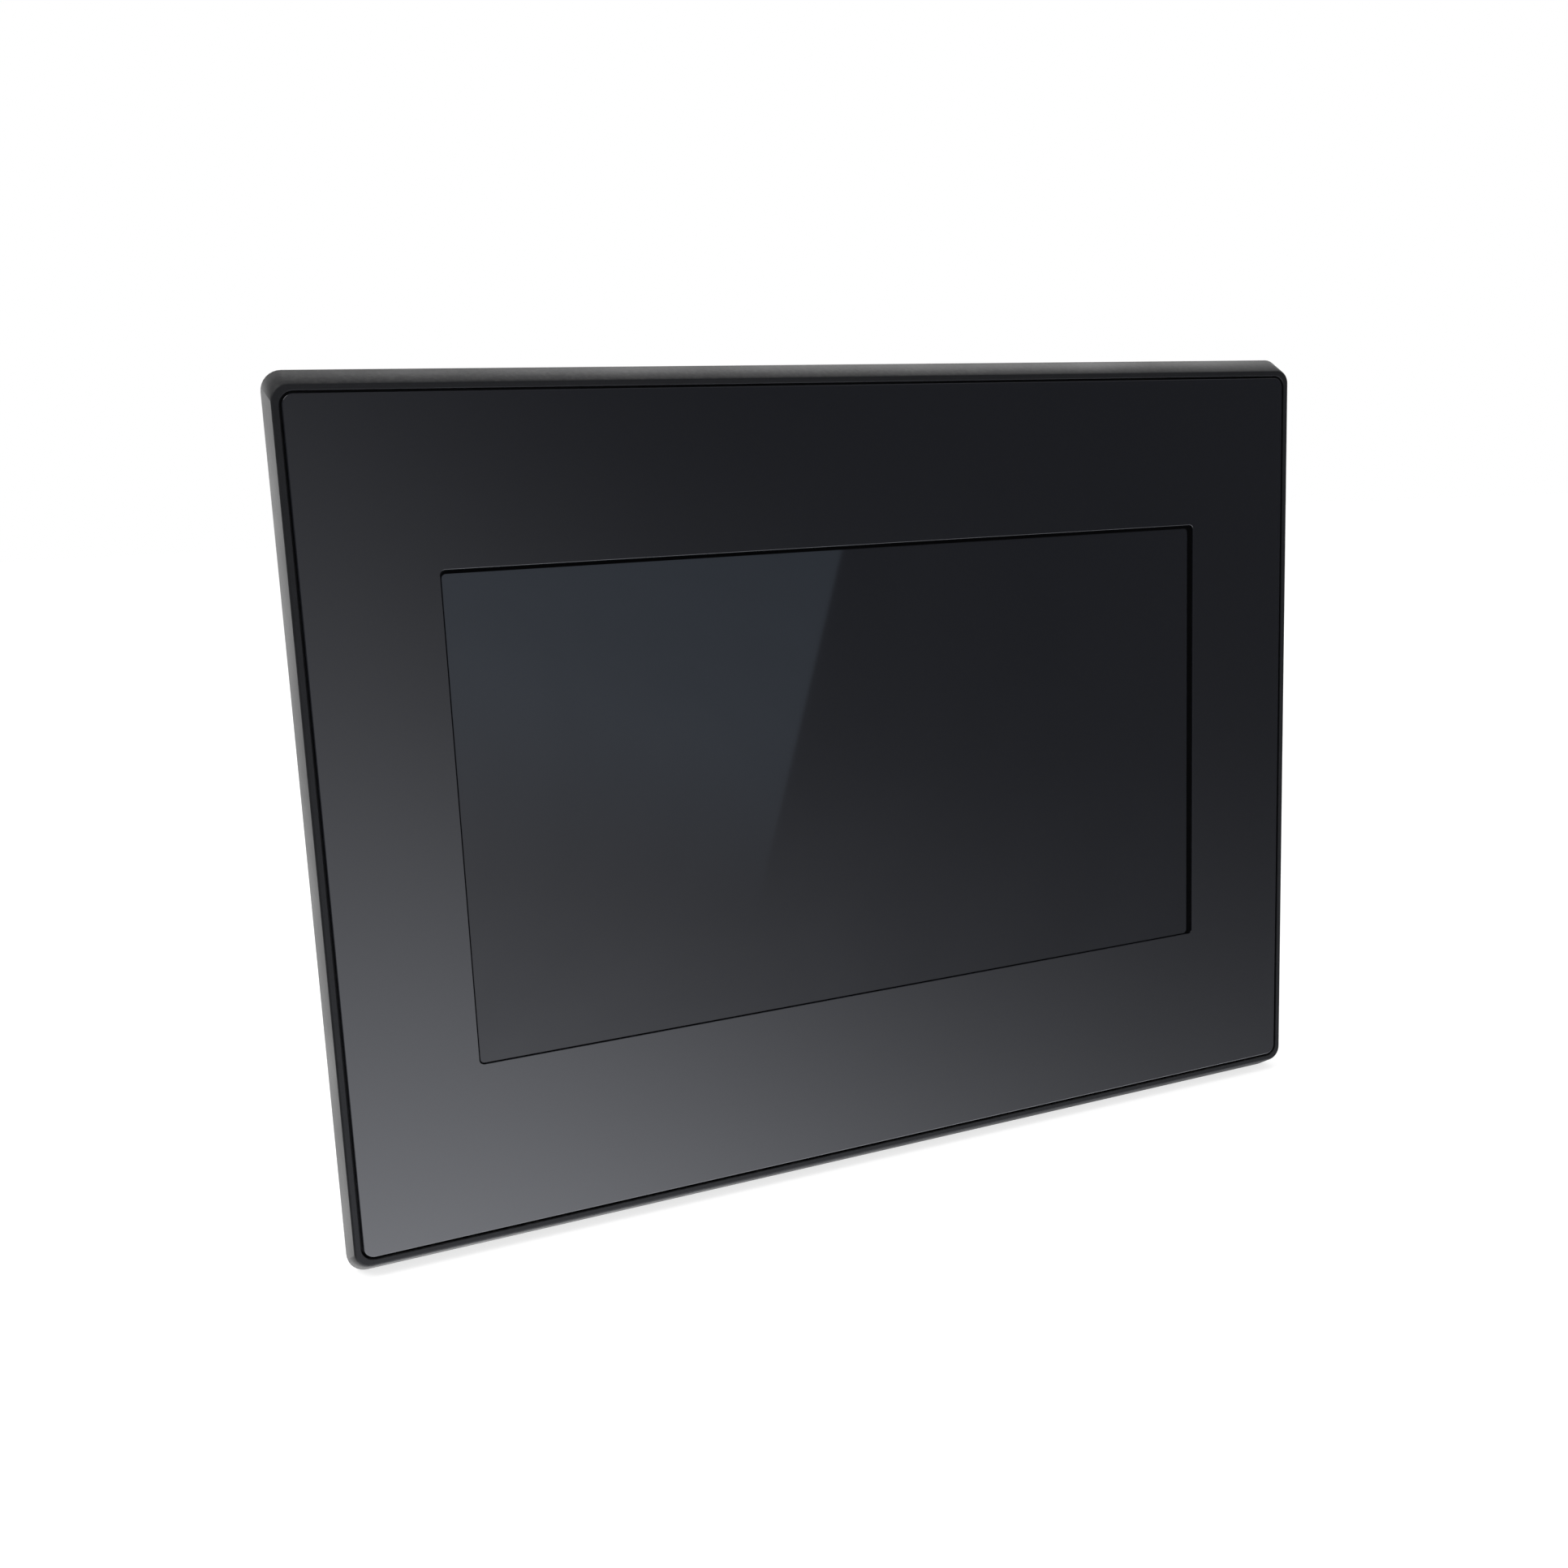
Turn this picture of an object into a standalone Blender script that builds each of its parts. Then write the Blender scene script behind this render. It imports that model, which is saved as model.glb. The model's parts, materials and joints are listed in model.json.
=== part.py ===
# Operator panel with a 7-inch wide touch screen, for a cut-out in a cabinet door.
# Metres. The front faces -Y, +X is right seen from the front, +Z is up. The origin is the centre of the
# cut-out, on the plane where the seal meets the door.

from math import cos, pi, radians, sin

import bmesh
import bpy
from mathutils import Matrix, Vector

# Clearances
GAP = 0.0003  # between neighbours that touch, and round a pin in its hole
HINGE_GAP = 0.0004  # between a lid's round edge and its pocket

# Rear body, which goes through the cut-out
BODY_WIDTH = 0.1900
BODY_HEIGHT = 0.1360
BODY_RADIUS = 0.0040
BODY_BACK = 0.0440  # rear face of the deep block, from the door's face
STEP_BACK = 0.0260  # rear face of the shallow block below the step
STEP_HEIGHT = 0.0340  # height of the shallow block
WALL = 0.0022
BACK_EDGE = 0.0012  # rounding of the rear cover's edges

# Front frame
FLANGE_SIDE = 0.0080  # how far the flange stands out past the body, left and right
FLANGE_TOP = 0.0095  # the same, above and below
FLANGE_RADIUS = 0.0034
FLARE_SIDE = 0.0008  # how much smaller the front ring is than the flange, left and right
FLARE_TOP = 0.0023
FRONT_RADIUS = 0.0028
FRONT = 0.0060  # front ring, ahead of the door's face
SEAL_PROUD = 0.0010  # how far the seal holds the flange off the door
LIP = 0.0008  # straight part of the flange's rim
RING_WIDTH = 0.0012
RING_EDGE = 0.0003
GROOVE = 0.0004  # open groove round the front sheet
SHEET = 0.0012
SHEET_EDGE = 0.0002
SHEET_RADIUS = 0.0020
COLLAR = 0.0080  # rear edge of the frame's collar
COLLAR_WALL = 0.0024
COLLAR_INSET = 0.0002  # the collar is this much smaller than the rear cover

# Screen window
WINDOW_WIDTH = 0.1554
WINDOW_HEIGHT = 0.0868
WINDOW_RADIUS = 0.0009
WINDOW_UP = 0.0011  # the window's centre stands above the panel's centre

# Touch panel and display, from front to back
TOUCH_MARGIN_SIDE = 0.0051
TOUCH_MARGIN_TOP = 0.0061
FILM = 0.0004
GLASS = 0.0015
FOAM = 0.0010
FOAM_LAP = 0.0010
DISPLAY_MARGIN_SIDE = 0.0048
DISPLAY_MARGIN_TOP = 0.0086
TRAY_WALL = 0.0008
TRAY_BASE = 0.0006
CELL = 0.0016
DIFFUSER = 0.0005
GUIDE = 0.0022
LED_BAR = 0.0024

# Seal
SEAL_WIDTH = 0.0040
SEAL_GROOVE = 0.0010
SEAL_OUT = 0.0020  # from the body's side to the seal

# Chassis and board
CHASSIS = 0.0010
CHASSIS_GAP = 0.0007
BOARD = 0.0016
BOARD_FRONT = 0.0260
BOARD_MARGIN = 0.0130
BOARD_TOP = 0.0080
PILLAR_RADIUS = 0.0025
PILLAR_INSET = 0.0060
CHIP = 0.0270
CHIP_HEIGHT = 0.0015
FINS = 6
FIN = 0.0015
FIN_HEIGHT = 0.0080
FIN_BASE = 0.0020
BUZZER_RADIUS = 0.0060
BUZZER_HEIGHT = 0.0070
BUZZER_HOLE = 0.0011
BUZZER_FLOOR = 0.0030
BUZZER_INSET = 0.0300
CAPACITOR_RADIUS = 0.0050
CAPACITOR_HEIGHT = 0.0120
CAPACITOR_INSET = 0.0200
CAPACITOR_UP = 0.0300
CABLE = 0.0003
CABLE_WIDTH = 0.0300
CABLE_SLOT = 0.0045
CABLE_SLOT_UP = 0.0040  # from the display's lower edge to the slot for its lead
CABLE_START_UP = 0.0200
TAIL_WIDTH = 0.0100
TAIL_SLOT = 0.0030
CHAMFER = 0.0005  # small turned and moulded edges

# Cover screws
SCREW_INSET = 0.0070
SCREW_RADIUS = 0.00125
SCREW_HEAD_RADIUS = 0.0028
SCREW_HEAD = 0.0018
SCREW_SINK = 0.0024
COLUMN_RADIUS = 0.0036
BOSS_RADIUS = 0.0030
BOSS_END = 0.0055

# Ports on the step, from the +X side
PORT_INSET = 0.0160
PORT_SPACE = 0.0086
PORT_PROUD = 0.0004
POWER_WIDTH = 0.0176
POWER_HEIGHT = 0.0110
POWER_DEPTH = 0.0120
POWER_WALL = 0.0007
POWER_FLOOR = 0.0020
PIN = 0.0012
PIN_SINK = 0.0030  # from the header's mouth to its pins' tips
PLUG_LENGTH = 0.0122  # part of the plug outside its header
PLUG_SIDE = 0.0003  # how far that part is wider than its nose, each side
PLUG_BACK = 0.0021  # how far it stands out behind the nose
PLUG_SPLIT = 0.0005  # gap left between the step and the plug's grip
WIRES = 3
WIRE_PITCH = 0.00508
WIRE_HOLE = 0.0034
WIRE_HOLE_FRONT = 0.0012
WIRE_HOLE_END = 0.0040
TERMINAL_RADIUS = 0.0016
TERMINAL_HEIGHT = 0.0030
TERMINAL_SINK = 0.0003
TERMINAL_DOWN = 0.0067  # from the step's ports to the terminal screws
NETWORK_WIDTH = 0.0159
NETWORK_HEIGHT = 0.0133
NETWORK_DEPTH = 0.0156
NETWORK_ROOM = (0.0118, 0.0036, 0.0118, 0.0120)  # width, front, back, depth
LATCH_ROOM = (0.0064, 0.0012, 0.0050, 0.0080)
PORT_SHELL = 0.0006
USB_FLOOR = 0.0030
USB_TONGUE = (0.0112, 0.0019, 0.0088)  # width, thickness, length
DEVICE_TONGUE = (0.0046, 0.0009, 0.0040)
USB_WIDTH = 0.0145
USB_HEIGHT = 0.0071
USB_DEPTH = 0.0140
DEVICE_WIDTH = 0.0077
DEVICE_HEIGHT = 0.0040
DEVICE_DEPTH = 0.0085
SERIAL_WIDTH = 0.0308
SERIAL_HEIGHT = 0.0125
SERIAL_RADIUS = 0.0010
SERIAL_CORNER = 0.0012
SERIAL_SLANT = 10  # degrees, of the D shell's short sides
SERIAL_SHELL_WIDTH = 0.0169
SERIAL_SHELL_HEIGHT = 0.0083
SERIAL_SHELL_OUT = 0.0060
SERIAL_SHELL = 0.0005
SERIAL_FLANGE = 0.0010
SERIAL_BODY_WIDTH = 0.0190
SERIAL_BODY_INSET = 0.0008
SERIAL_BODY_DEPTH = 0.0100
SERIAL_WELL = 0.0040
CONTACT_RADIUS = 0.0005
CONTACT_INSET = 0.0008
JACK_SPACE = 0.0250
JACK_RADIUS = 0.0027
JACK_LENGTH = 0.0048
JACK_SHANK = 0.0014
JACK_BORE = 0.0012
CONTACT_PITCH = 0.00277
CONTACT_ROWS = 0.00284

# Lids and what is behind them
LID = 0.0015
LID_SINK = 0.0001
CARD_LID_LENGTH = 0.0320  # pocket of the card's lid, along its hinge
CARD_LID_DEPTH = 0.0140
CARD_LID_FRONT = 0.0234
CARD_UP = 0.0200
CARD_SLOT_LENGTH = 0.0250
CARD_SLOT = 0.0026
CARD_SOCKET = 0.0030
CARD_SOCKET_DEPTH = 0.0300
CARD_SOCKET_SIDE = 0.0015
CARD_SOCKET_WALL = 0.0004
NAIL_WIDTH = 0.0080  # nail notch beside each lid
NAIL = 0.0020
BATTERY_RADIUS = 0.0060
BATTERY_LENGTH = 0.0340
BATTERY_ROOM = 0.0070
BATTERY_NOSE = 0.0010
BATTERY_NOSE_RADIUS = 0.0020
BAY_HEIGHT = 0.0170
BAY_FLOOR = 0.0015
BATTERY_LID_WIDTH = 0.0470
BATTERY_LID_HEIGHT = 0.0220
BATTERY_TOP = 0.0100  # from the body's top to the lid's pocket

# End resistor switch and rating plate
SWITCH_WIDTH = 0.0120
SWITCH_HEIGHT = 0.0060
SWITCH_INSET = 0.0290
SWITCH_UP = 0.0260
LEVER = 0.0030
LEVER_TRAVEL = 0.0034
LEVER_SINK = 0.0020
LEVER_EDGE = 0.0003
PLATE_WIDTH = 0.0900
PLATE_HEIGHT = 0.0340
PLATE_RADIUS = 0.0015
PLATE = 0.0004
PLATE_UP = 0.0220

# Vents
VENT_FORWARD = 0.0060  # how far the top and side vents sit forward of the deep block's middle
VENT = 0.0024
VENT_PITCH = 0.0060
TOP_VENTS = 14
BACK_VENTS = 8
SIDE_VENTS = 8
TOP_VENT_LENGTH = 0.0200
BACK_VENT_LENGTH = 0.0260
SIDE_VENT_LENGTH = 0.0200

# Mounting clamps
CLAMP_SPREAD = 0.0620  # from the middle to each clamp
CLAMP_AXIS = 0.0048  # screw axis, from the body's side
CLAMP_FRONT = 0.0130
CLAMP_LENGTH = 0.0110
CLAMP_WIDTH = 0.0150
CLAMP_TOP = 0.0040
HOOK_WIDTH = 0.0100
HOOK_LEG = 0.0040
HOOK_TOE = 0.0018
HOOK_THICK = 0.0021
HOOK_BACK = 0.0033  # from the leg to the bracket's rear face
FOOT_FRONT = 0.0090
FOOT_THICK = 0.0030
FOOT_RADIUS = 0.0039
FOOT_SOCKET = 0.0018
THREAD_RADIUS = 0.0020
FEED = 0.0080  # travel of the foot
CLAMP_HEAD_RADIUS = 0.0036
CLAMP_HEAD = 0.0028
HEAD_ROOM = 0.0006  # left between head and bracket with the foot fully out
CLAMP_SLOT = (0.0022, 0.0004, 0.0012)  # cross slot: reach, half width, depth
COVER_SLOT = (0.0016, 0.0003, 0.0008)

# Sizes that follow
FLANGE_WIDTH = BODY_WIDTH + 2 * FLANGE_SIDE
FLANGE_HEIGHT = BODY_HEIGHT + 2 * FLANGE_TOP
FRONT_WIDTH = FLANGE_WIDTH - 2 * FLARE_SIDE
FRONT_HEIGHT = FLANGE_HEIGHT - 2 * FLARE_TOP
SHEET_WIDTH = FRONT_WIDTH - 2 * (RING_WIDTH + GROOVE)
SHEET_HEIGHT = FRONT_HEIGHT - 2 * (RING_WIDTH + GROOVE)
FILM_FRONT = -FRONT + SHEET + GAP
TOUCH_WIDTH = WINDOW_WIDTH + 2 * TOUCH_MARGIN_SIDE
TOUCH_HEIGHT = WINDOW_HEIGHT + 2 * TOUCH_MARGIN_TOP
OPENING_WIDTH = TOUCH_WIDTH + 4 * GAP
OPENING_HEIGHT = TOUCH_HEIGHT + 4 * GAP
DISPLAY_WIDTH = WINDOW_WIDTH + 2 * DISPLAY_MARGIN_SIDE
DISPLAY_HEIGHT = WINDOW_HEIGHT + 2 * DISPLAY_MARGIN_TOP
DISPLAY_FRONT = -SEAL_PROUD + GAP
CELL_WIDTH = DISPLAY_WIDTH - 2 * (TRAY_WALL + GAP)
CELL_HEIGHT = DISPLAY_HEIGHT - 2 * (TRAY_WALL + GAP)
DIFFUSER_FRONT = DISPLAY_FRONT + CELL + GAP
GUIDE_FRONT = DIFFUSER_FRONT + DIFFUSER + GAP
TRAY_BACK = GUIDE_FRONT + GUIDE + GAP + TRAY_BASE
CHASSIS_FRONT = TRAY_BACK + CHASSIS_GAP
CHASSIS_BACK = CHASSIS_FRONT + CHASSIS
COVER_FRONT = COLLAR + GAP
BODY_TOP = BODY_HEIGHT / 2
BODY_SIDE = BODY_WIDTH / 2
STEP = STEP_HEIGHT - BODY_TOP  # height of the step's face
UPPER_HEIGHT = BODY_HEIGHT - STEP_HEIGHT
UPPER_MIDDLE = (BODY_TOP + STEP) / 2
BOARD_BACK = BOARD_FRONT + BOARD
ON_BOARD = BOARD_BACK + GAP
BOARD_BOTTOM = STEP + WALL + GAP
SCREW_X = BODY_SIDE - SCREW_INSET
SCREW_Z = BODY_TOP - SCREW_INSET
HOLE_RADIUS = SCREW_RADIUS + GAP


# Outlines, as points in a plane

def rounded(width, height, radius, steps=6, middle=(0, 0)):
    points = []
    for side, up, start in ((1, 1, 0), (-1, 1, 90), (-1, -1, 180), (1, -1, 270)):
        for i in range(steps + 1):
            turn = radians(start + 90 * i / steps)
            points.append((
                middle[0] + side * (width / 2 - radius) + radius * cos(turn),
                middle[1] + up * (height / 2 - radius) + radius * sin(turn),
            ))
    return points


def circle(radius, count=24, middle=(0, 0)):
    turns = [2 * pi * i / count for i in range(count)]
    return [(middle[0] + radius * cos(t), middle[1] + radius * sin(t)) for t in turns]


def rectangle(low_a, high_a, low_b, high_b):
    return [(low_a, low_b), (high_a, low_b), (high_a, high_b), (low_a, high_b)]


def d_shape(width, height):
    """A D connector's outline: its lower side is the shorter one, and its corners are cut."""
    slant = height * sin(radians(SERIAL_SLANT))
    corner = SERIAL_CORNER
    half = width / 2
    return [
        (half - corner, height / 2),
        (corner - half, height / 2),
        (-half, height / 2 - corner),
        (slant - half, corner - height / 2),
        (slant + corner - half, -height / 2),
        (half - slant - corner, -height / 2),
        (half - slant, corner - height / 2),
        (half, height / 2 - corner),
    ]


# Solids from outlines. The axis names the direction across the outline's plane.

def spot(point, depth, axis):
    a, b = point
    return {"X": (depth, a, b), "Y": (a, depth, b), "Z": (a, b, depth)}[axis]


def rings_of(shape, rings, axis):
    return [[shape.verts.new(spot(p, depth, axis)) for p in outline] for outline, depth in rings]


def wall_between(shape, first, second):
    for i in range(len(first)):
        j = (i + 1) % len(first)
        shape.faces.new((first[i], first[j], second[j], second[i]))


def stack(shape, rings, axis="Y"):
    """A solid through a row of outlines, closed at both ends."""
    loops = rings_of(shape, rings, axis)
    for first, second in zip(loops, loops[1:]):
        wall_between(shape, first, second)
    shape.faces.new(loops[0])
    shape.faces.new(reversed(loops[-1]))


def hoop(shape, rings, axis="Y"):
    """A ring-shaped solid: the last outline meets the first."""
    loops = rings_of(shape, rings, axis)
    for first, second in zip(loops, loops[1:] + loops[:1]):
        wall_between(shape, first, second)


def block(shape, x, y, z):
    stack(shape, [(rectangle(*x, *z), y[0]), (rectangle(*x, *z), y[1])])


def blocks(*boxes):
    shape = bmesh.new()
    for x, y, z in boxes:
        block(shape, x, y, z)
    return shape


def prism(outline, low, high, axis="Y"):
    shape = bmesh.new()
    stack(shape, [(outline, low), (outline, high)], axis)
    return shape


def prisms(outlines, low, high, axis="Y"):
    shape = bmesh.new()
    for outline in outlines:
        stack(shape, [(outline, low), (outline, high)], axis)
    return shape


# Objects

def finish(name, colour, roughness, metallic=0.0):
    material = bpy.data.materials.new(name)
    material.use_nodes = True
    shader = material.node_tree.nodes["Principled BSDF"]
    shader.inputs["Base Color"].default_value = (*colour, 1.0)
    shader.inputs["Roughness"].default_value = roughness
    shader.inputs["Metallic"].default_value = metallic
    return material


def mesh_of(name, shape):
    bmesh.ops.recalc_face_normals(shape, faces=shape.faces)
    mesh = bpy.data.meshes.new(name)
    shape.to_mesh(mesh)
    shape.free()
    mesh.shade_smooth()
    mesh.set_sharp_from_angle(angle=radians(32))
    return mesh


def place(name, mesh, parent=None, at=(0, 0, 0)):
    thing = bpy.data.objects.new(name, mesh)
    bpy.context.scene.collection.objects.link(thing)
    thing.parent = parent
    thing.location = at
    return thing


def piece(name, shape, material, at=(0, 0, 0), parent=None):
    mesh = mesh_of(name, shape)
    mesh.materials.append(material)
    return place(name, mesh, parent, at)


def change(target, shape, operation, name):
    tool = place(f"{target.name}_{name}", mesh_of(name, shape), target)
    tool.hide_render = True
    tool.display_type = "WIRE"
    boolean = target.modifiers.new(name, "BOOLEAN")
    boolean.operation = operation
    boolean.solver = "EXACT"
    boolean.object = tool


def cut(target, shape, name):
    change(target, shape, "DIFFERENCE", name)


def join(target, shape, name):
    change(target, shape, "UNION", name)


def soften(target, width):
    bevel = target.modifiers.new("soft_edges", "BEVEL")
    bevel.width = width
    bevel.segments = 1
    bevel.limit_method = "ANGLE"
    bevel.angle_limit = radians(40)


def pivot(name, at, turn=None):
    empty = place(name, None, None, at)
    empty.empty_display_size = 0.01
    if turn:
        empty.matrix_world = Matrix.Translation(Vector(at)) @ turn
    return empty


# Front frame and sheet

def corners():
    return [(side * SCREW_X, up * SCREW_Z) for up in (1, -1) for side in (1, -1)]


def frame_ring(inset, depth):
    outline = rounded(FRONT_WIDTH - 2 * inset, FRONT_HEIGHT - 2 * inset, FRONT_RADIUS - inset, 8)
    return outline, depth


def make_front_bezel(material):
    flange = rounded(FLANGE_WIDTH, FLANGE_HEIGHT, FLANGE_RADIUS, 8)
    shape = bmesh.new()
    stack(shape, [
        frame_ring(RING_EDGE, -FRONT),
        frame_ring(0, -FRONT + RING_EDGE),
        (flange, -SEAL_PROUD - LIP),
        (flange, -SEAL_PROUD),
    ])
    bezel = piece("front_bezel", shape, material)
    seat = rounded(SHEET_WIDTH + 2 * GROOVE, SHEET_HEIGHT + 2 * GROOVE, SHEET_RADIUS + GROOVE, 8)
    cut(bezel, prism(seat, -FRONT - WALL, FILM_FRONT), "sheet_seat")
    collar = bmesh.new()
    outer_width = BODY_WIDTH - 2 * COLLAR_INSET
    outer_height = BODY_HEIGHT - 2 * COLLAR_INSET
    outer = rounded(outer_width, outer_height, BODY_RADIUS)
    inner = rounded(
        outer_width - 2 * COLLAR_WALL, outer_height - 2 * COLLAR_WALL, BODY_RADIUS - COLLAR_WALL
    )
    root = -SEAL_PROUD - COLLAR_WALL / 3
    hoop(collar, [(outer, root), (outer, COLLAR), (inner, COLLAR), (inner, root)])
    join(bezel, collar, "collar")
    bosses = [circle(BOSS_RADIUS, 20, corner) for corner in corners()]
    join(bezel, prisms(bosses, root, BOSS_END), "bosses")
    opening = rounded(OPENING_WIDTH, OPENING_HEIGHT, WINDOW_RADIUS, 4, (0, WINDOW_UP))
    cut(bezel, prism(opening, -FRONT, COLLAR), "touch_opening")
    groove = bmesh.new()
    wide = SEAL_WIDTH + 2 * GAP
    inside = rounded(*seal_inside(-GAP), BODY_RADIUS)
    outside = rounded(*seal_inside(wide - GAP), BODY_RADIUS + wide)
    low = -SEAL_PROUD - SEAL_GROOVE
    hoop(groove, [(outside, low), (outside, COLLAR / 2), (inside, COLLAR / 2), (inside, low)])
    cut(bezel, groove, "seal_groove")
    holes = [circle(HOLE_RADIUS, 12, corner) for corner in corners()]
    cut(bezel, prisms(holes, root, COLLAR), "screw_holes")
    return bezel


def seal_inside(out):
    return BODY_WIDTH + 2 * (SEAL_OUT + out), BODY_HEIGHT + 2 * (SEAL_OUT + out)


def make_panel_gasket(material):
    shape = bmesh.new()
    inside = rounded(*seal_inside(0), BODY_RADIUS + GAP)
    outside = rounded(*seal_inside(SEAL_WIDTH), BODY_RADIUS + SEAL_WIDTH)
    front = -SEAL_PROUD - SEAL_GROOVE + GAP
    hoop(shape, [(outside, front), (outside, 0), (inside, 0), (inside, front)])
    return piece("panel_gasket", shape, material)


def make_front_sheet(material):
    def outer(inset):
        return rounded(SHEET_WIDTH - 2 * inset, SHEET_HEIGHT - 2 * inset, SHEET_RADIUS - inset, 8)

    def window(more):
        wide, high = WINDOW_WIDTH + 2 * more, WINDOW_HEIGHT + 2 * more
        return rounded(wide, high, WINDOW_RADIUS + more, 8, (0, WINDOW_UP))

    shape = bmesh.new()
    hoop(shape, [
        (outer(0), SHEET),
        (outer(0), SHEET_EDGE),
        (outer(SHEET_EDGE), 0),
        (window(SHEET_EDGE), 0),
        (window(0), SHEET_EDGE),
        (window(0), SHEET),
    ])
    return piece("front_sheet", shape, material, (0, -FRONT, 0))


# Touch panel and display

def make_touch_panel(film, glass, foam):
    front = FILM_FRONT
    outline = rounded(TOUCH_WIDTH, TOUCH_HEIGHT, WINDOW_RADIUS, 4)
    piece("touch_film", prism(outline, 0, FILM), film, (0, front, WINDOW_UP))
    front += FILM + GAP
    outline = rounded(TOUCH_WIDTH - 2 * GAP, TOUCH_HEIGHT - 2 * GAP, WINDOW_RADIUS, 4)
    piece("touch_glass", prism(outline, 0, GLASS), glass, (0, front, WINDOW_UP))
    front += GLASS + GAP
    inner = rounded(WINDOW_WIDTH + 2 * FOAM_LAP, WINDOW_HEIGHT + 2 * FOAM_LAP, WINDOW_RADIUS, 4)
    shape = bmesh.new()
    hoop(shape, [(outline, 0), (outline, FOAM), (inner, FOAM), (inner, 0)])
    piece("touch_gasket", shape, foam, (0, front, WINDOW_UP))


def make_display(dark, white, clear, metal, board):
    radius = WINDOW_RADIUS
    tray = prism(rounded(DISPLAY_WIDTH, DISPLAY_HEIGHT, radius, 3), DISPLAY_FRONT, TRAY_BACK)
    tray = piece("lcd_tray", tray, metal, (0, 0, WINDOW_UP))
    room = rounded(CELL_WIDTH + 2 * GAP, CELL_HEIGHT + 2 * GAP, radius, 3)
    cut(tray, prism(room, -FRONT, TRAY_BACK - TRAY_BASE), "room")
    layer = rounded(CELL_WIDTH, CELL_HEIGHT, radius, 3)
    piece("lcd_cell", prism(layer, 0, CELL), dark, (0, DISPLAY_FRONT, WINDOW_UP))
    piece("lcd_diffuser", prism(layer, 0, DIFFUSER), white, (0, DIFFUSER_FRONT, WINDOW_UP))
    guide_height = CELL_HEIGHT - LED_BAR - GAP
    guide = rounded(CELL_WIDTH, guide_height, radius, 3)
    guide_up = WINDOW_UP + (CELL_HEIGHT - guide_height) / 2
    piece("light_guide", prism(guide, 0, GUIDE), clear, (0, GUIDE_FRONT, guide_up))
    bar_up = WINDOW_UP - (CELL_HEIGHT - LED_BAR) / 2
    bar = rectangle(-CELL_WIDTH / 2, CELL_WIDTH / 2, -LED_BAR / 2, LED_BAR / 2)
    piece("led_bar", prism(bar, 0, GUIDE), board, (0, GUIDE_FRONT, bar_up))


def ribbon(path, width, thick, axis):
    """A flat lead along a path in the plane across its width, as thick as stated."""
    path = [Vector(p) for p in path]
    left, right = [], []
    for i, point in enumerate(path):
        ahead = (path[min(i + 1, len(path) - 1)] - path[max(i - 1, 0)]).normalized()
        aside = Vector((-ahead.y, ahead.x)) * thick / 2
        left.append(point + aside)
        right.append(point - aside)
    return prism([tuple(p) for p in left + right[::-1]], -width / 2, width / 2, axis)


def tail_edge():
    """Middle of the narrow way beside the display that the touch panel's lead takes."""
    return -(DISPLAY_WIDTH + OPENING_WIDTH) / 4


def make_cables(material):
    low = WINDOW_UP - DISPLAY_HEIGHT / 2
    end = BOARD_FRONT - GAP
    start = TRAY_BACK + GAP + CABLE / 2
    slot = low + CABLE_SLOT_UP + CABLE_SLOT / 2
    bend = (end - CHASSIS_BACK) / 4
    path = [
        (start, low + CABLE_START_UP),
        (start, slot + bend / 2),
        (CHASSIS_FRONT, slot),
        (CHASSIS_BACK + bend / 2, slot),
        (CHASSIS_BACK + bend, slot + bend / 2),
        (end - bend, BOARD_BOTTOM + bend / 2),
        (end, BOARD_BOTTOM + bend),
    ]
    piece("lcd_cable", ribbon(path, CABLE_WIDTH, CABLE, "X"), material)
    edge = tail_edge()
    path = [
        (edge, FILM_FRONT + FILM + GAP),
        (edge, CHASSIS_BACK + bend / 2),
        (edge + bend, end - bend),
        (edge + bend, end),
    ]
    piece("touch_cable", ribbon(path, TAIL_WIDTH, CABLE, "Z"), material, (0, 0, WINDOW_UP))


# Chassis, board and what is on it

def board_sides():
    return -BODY_SIDE + BOARD_MARGIN, BODY_SIDE - BOARD_MARGIN


def make_chassis_plate(material):
    inset = COLLAR_INSET + COLLAR_WALL + 2 * GAP
    outline = rounded(BODY_WIDTH - 2 * inset, BODY_HEIGHT - 2 * inset, BODY_RADIUS - COLLAR_WALL, 3)
    plate = piece("chassis_plate", prism(outline, CHASSIS_FRONT, CHASSIS_BACK), material)
    left, right = board_sides()
    pillars = [
        circle(PILLAR_RADIUS, 12, (x, z))
        for x in (left + PILLAR_INSET, right - PILLAR_INSET)
        for z in (BOARD_BOTTOM + PILLAR_INSET, BODY_TOP - BOARD_TOP - PILLAR_INSET)
    ]
    join(plate, prisms(pillars, CHASSIS_FRONT + CHASSIS / 2, BOARD_FRONT - GAP), "pillars")
    low = WINDOW_UP - DISPLAY_HEIGHT / 2 + CABLE_SLOT_UP
    wide = CABLE_WIDTH / 2 + CHASSIS
    tall = TAIL_WIDTH / 2 + CHASSIS
    edge = tail_edge()
    slots = [
        rectangle(-wide, wide, low, low + CABLE_SLOT),
        rectangle(edge - TAIL_SLOT / 3, edge + TAIL_SLOT, WINDOW_UP - tall, WINDOW_UP + tall),
    ]
    cut(plate, prisms(slots, TRAY_BACK, COLLAR + WALL), "cable_slots")
    holes = [circle(SCREW_RADIUS + 2 * GAP, 12, corner) for corner in corners()]
    cut(plate, prisms(holes, TRAY_BACK, COLLAR + WALL), "screw_holes")


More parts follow.
